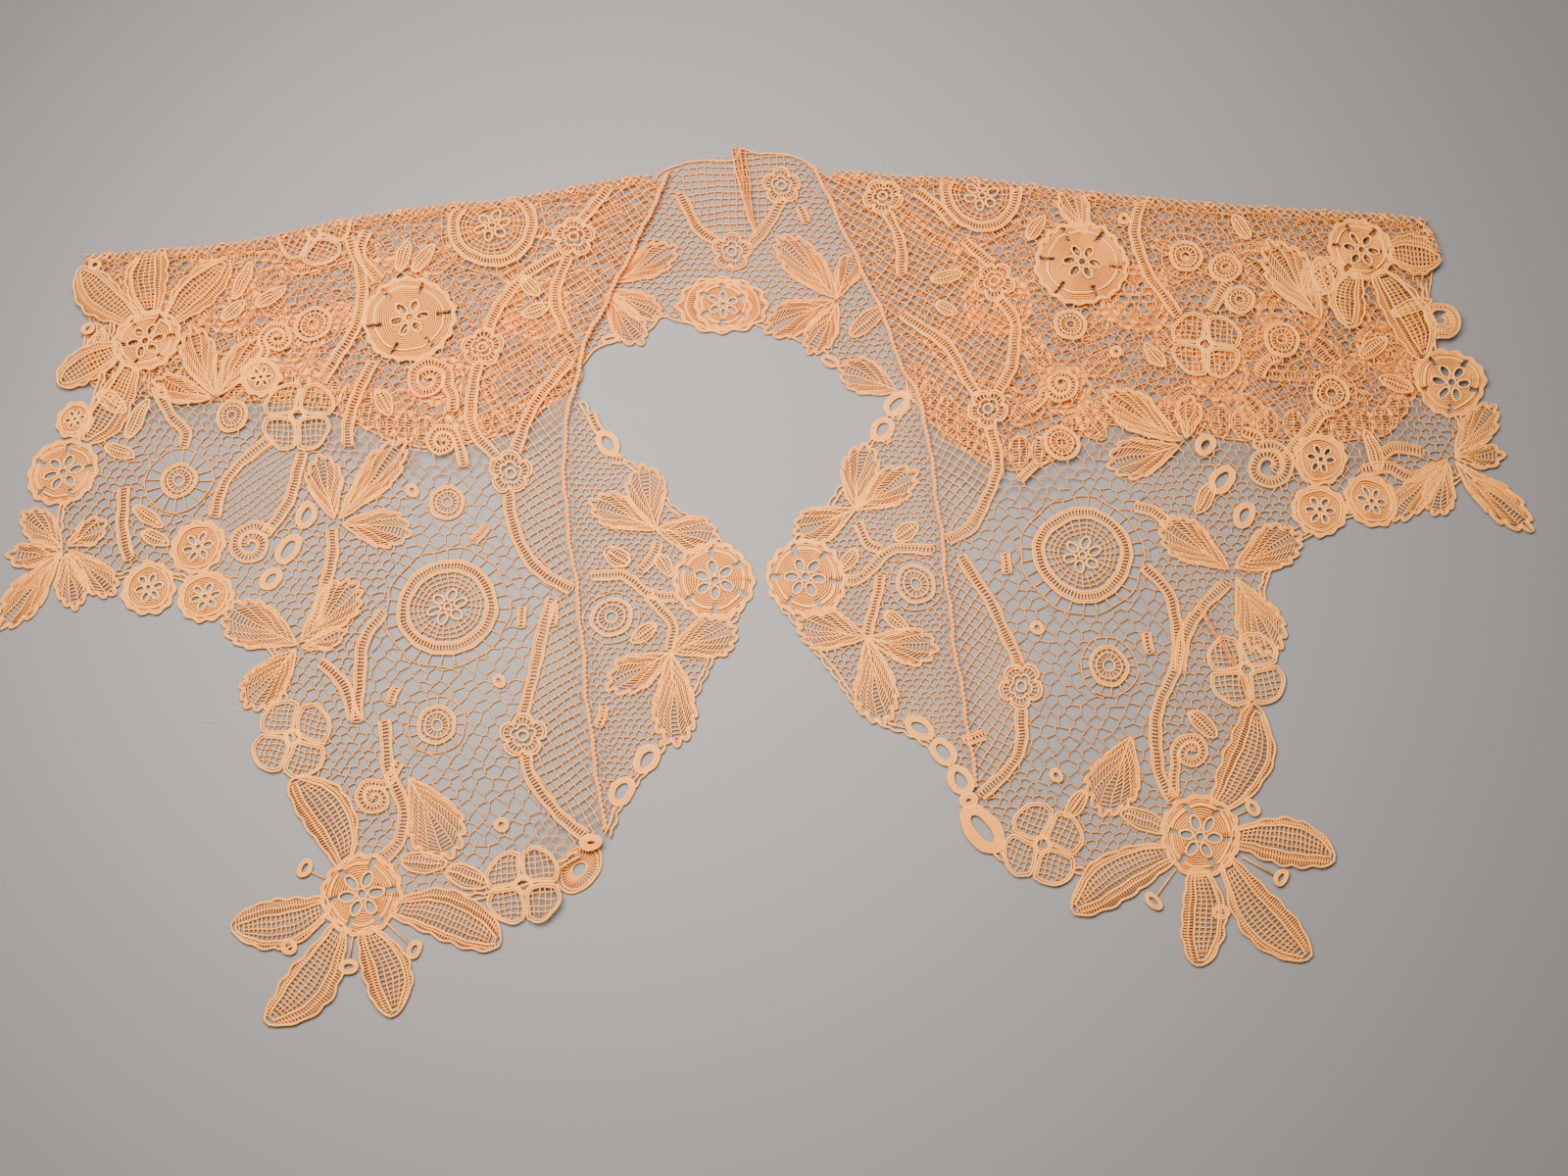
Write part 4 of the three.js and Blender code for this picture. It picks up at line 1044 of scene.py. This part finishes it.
left_lower = smooth([p for p in left_seam if p[1] < 65], 4)
right_lower = smooth([p for p in right_seam if p[1] < 60], 4)
revers(
    "left_revers_lace", "left_revers", (-21, -14, 14.4),
    [(-43, 6, [(-68, 17, 14), (-49, 31, 15), (-19, 2, 14)]),
     (-36, -41, [(-12, -31, 16), (-33, -75, 16), (-59, -54, 14)])],
    [(-42, -4, -36, -12, 5), (-42, -30, -50, -37, 5), (-52, -8, -61, -2, 6)],
    [[(-42, 1), (-44, -6), (-48, -11)], [(-66, -12), (-54, -12), (-45, -19), (-34, -20)],
     [(-45, -20), (-36, -30), (-36, -40)], [(-68, 52), (-66, 46), (-64, 44)], [(-60, 34), (-56, 33)]],
    (-58, -28), [(-62, 40, 120), (-44, -79, 50), (-52, -91, 60)], left_lower,
    [(-72, 57), (-68, 50), (-63, 41), (-56, 33), (-47, 26), (-36, 14), (-24, 4), (-12, -4), (-8, -14),
     (-12, -26), (-18, -34), (-22, -44), (-26, -54), (-32, -66), (-38, -74), (-46, -85), (-52, -94),
     (-57, -106)],
    1, 0.6)
revers(
    "right_revers_lace", "right_revers", (13, -13, 14.4),
    [(31, 13, [(55, 29, 14), (35, 40, 15), (8, 4, 14)]),
     (35, -36, [(9, -29, 16), (40, -68, 16), (61, -40, 14)])],
    [(32, -2, 26, -10, 5), (42, -26, 50, -32, 5), (46, 2, 54, 8, 6)],
    [[(32, 8), (36, 0), (42, -3)], [(60, -2), (46, -2), (34, -12), (27, -14)],
     [(40, -12), (38, -24), (35, -35)], [(52, 56), (47, 50)], [(44, 42), (42, 40)]],
    (53, -15), [(48, 56, 50), (42, 45, 50), (53, -68, -25), (61, -77, -50), (67, -87, -60)], right_lower,
    [(53, 60), (48, 54), (42, 46), (36, 38), (29, 26), (20, 12), (10, 2), (4, -6), (2, -13), (4, -24),
     (12, -33), (20, -44), (30, -58), (40, -67), (50, -70), (58, -76), (65, -84), (70, -91)],
    -1, 0.95)

# ---- Neck cords ----
# A twisted cord is whipped over the seam where front and revers meet, from the back neck to the front's lower
# end. It lies on the back down to its edge, then comes down to the surface.
cord_finish = thread_finish(
    "cord_thread", (0.72, 0.23, 0.04), (0.90, 0.34, 0.07), (0.97, 0.43, 0.11), (0.87, 0.29, 0.055))


def neck_cord(name, node, seam, edge):
    """A cord with its whipping, along one seam."""
    radius, pitch = 0.75, 1.8
    core = smooth(seam, 1.4)
    drop = np.clip((core[:, 1] - edge + 26) / 16, 0, 1)
    rise = 1.35 + UPPER * drop * drop * (3 - 2 * drop)

    def height(p):
        return np.interp(p[:, 1], core[::-1, 1], rise[::-1])

    lace = Lace()
    lace.thread(core, radius, 0.0, -0.6, sides=8)
    cord = lace_piece(name, lace, height)
    # The whipping is one thread wound round the core.
    stops = np.arange(0, lengths(core)[-1], 0.16)
    path = points_at(core, stops)
    spin = stops * 2 * math.pi / pitch
    swing = aside(unit(np.gradient(path, axis=0))) * (radius * np.cos(spin))[:, None]
    wound = np.column_stack([path + waver(path) + swing, height(path) + radius * np.sin(spin)])
    curve = bpy.data.curves.new(name + "_whipping", "CURVE")
    curve.dimensions = "3D"
    curve.bevel_depth = NET * MM
    curve.bevel_resolution = 1
    curve.use_fill_caps = True
    spline = curve.splines.new("POLY")
    spline.points.add(len(wound) - 1)
    spline.points.foreach_set("co", np.column_stack([wound * MM, np.ones(len(wound))]).ravel())
    whipping = bpy.data.objects.new(name + "_whipping", curve)
    bpy.context.scene.collection.objects.link(whipping)
    bpy.ops.object.select_all(action="DESELECT")
    whipping.select_set(True)
    bpy.context.view_layer.objects.active = whipping
    bpy.ops.object.convert(target="MESH")
    whipping.data.attributes.new("tone", "FLOAT", "POINT").data.foreach_set(
        "value", np.full(len(whipping.data.vertices), 0.5, np.float32))
    cord.select_set(True)
    bpy.context.view_layer.objects.active = cord
    bpy.ops.object.join()
    bpy.ops.object.shade_smooth()
    cord.data.materials.append(cord_finish)
    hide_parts(node)
    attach(cord, "root")


neck_cord("left_cord", "left_neck_cord", left_seam, 66)
neck_cord("right_cord", "right_neck_cord", right_seam, 58)

# ---- Shoulder folds ----
# Where the one cloth turns from back to front: the net and its tapes run round a soft edge, two layers deep.
# It looks darker than the flat lace.
fold_finish = thread_finish(
    "fold_thread", (0.70, 0.23, 0.04), (0.92, 0.37, 0.08), (1.0, 0.46, 0.13), (0.84, 0.28, 0.05))


def shoulder_fold(name, node, fold, inward):
    """A strip of net and cord wrapped round the fold, from the front's edge above to the back's below."""
    path = smooth(fold, 2.0)[::inward]
    length = lengths(path)[-1]
    radius, middle, half_width = 1.25, 2.0, 5.2
    lace = Lace()
    strip = [(0.5, -half_width), (length - 0.5, -half_width), (length - 0.5, half_width), (0.5, half_width)]
    lace.square_net(strip, 2.3, 52, 0.32, tone=0.1)
    for s in np.arange(9, length - 6, 23.0):
        for shift in (-1.3, 1.3):
            lace.thread([(s + shift, -3.6), (s + shift + 0.5, 0), (s + shift + 1.4, 3.6)], CORD, 0.25, 0.8)
        lace.rung([(s - 1.2 + 0.3 * k, -3 + 1.5 * k) for k in range(5)],
                  [(s + 1.4 + 0.3 * k, -3 + 1.5 * k) for k in range(5)], FINE, 0.2, 0.3)

    def wrap(v):
        s, t, out = v.T
        within = aside(unit(points_at(path, s + 0.5) - points_at(path, s - 0.5)))
        reach = math.pi / 2 * radius
        angle = np.clip(t, -reach, reach) / radius
        past = np.maximum(np.abs(t) - reach, 0)
        depth = radius - (radius + out) * np.cos(angle) + past
        return np.column_stack([points_at(path, s) + within * depth[:, None],
                                middle + (radius + out) * np.sin(angle)])

    piece = lace_piece(name, lace, lambda p: np.zeros(len(p)), wrap)
    piece.data.materials.append(fold_finish)
    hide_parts(node)
    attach(piece, "root")


shoulder_fold("left_fold_lace", "left_shoulder_fold", left_fold, 1)
shoulder_fold("right_fold_lace", "right_shoulder_fold", right_fold, -1)

# ---- Table and light ----
# A plain grey surface. A cool soft light stands behind the back neck and a warmer one hangs over the left
# front, so the threads' shadows are small and the surface darkens to the right.
bpy.ops.mesh.primitive_plane_add(size=3, location=(0, 0, 0))
table = bpy.context.object
table.name = "table"
surface = bpy.data.materials.new("table_paint")
surface.use_nodes = True
paint = surface.node_tree.nodes["Principled BSDF"].inputs
paint["Base Color"].default_value = (0.222, 0.202, 0.191, 1)
paint["Roughness"].default_value = 0.7
table.data.materials.append(surface)

for name, place, size, power, color in (
        ("key", (0.15, 0.5, 0.9), 0.4, 3.8, (0.92, 0.97, 1.0)),
        ("lamp", (-0.095, 0.055, 0.39), 0.3, 5.5, (1.0, 0.975, 0.95))):
    light_data = bpy.data.lights.new(name, "AREA")
    light_data.size = size
    light_data.energy = power
    light_data.color = color
    light = bpy.data.objects.new(name, light_data)
    light.location = place
    x, y, z = place
    light.rotation_euler = (math.atan2(math.hypot(x, y), z), 0, math.atan2(-y, -x) - math.pi / 2)
    bpy.context.scene.collection.objects.link(light)
world = bpy.data.worlds.new("room")
world.use_nodes = True
sky = world.node_tree.nodes["Background"].inputs
sky["Color"].default_value = (0.8, 0.89, 1.0, 1)
sky["Strength"].default_value = 0.14
bpy.context.scene.world = world
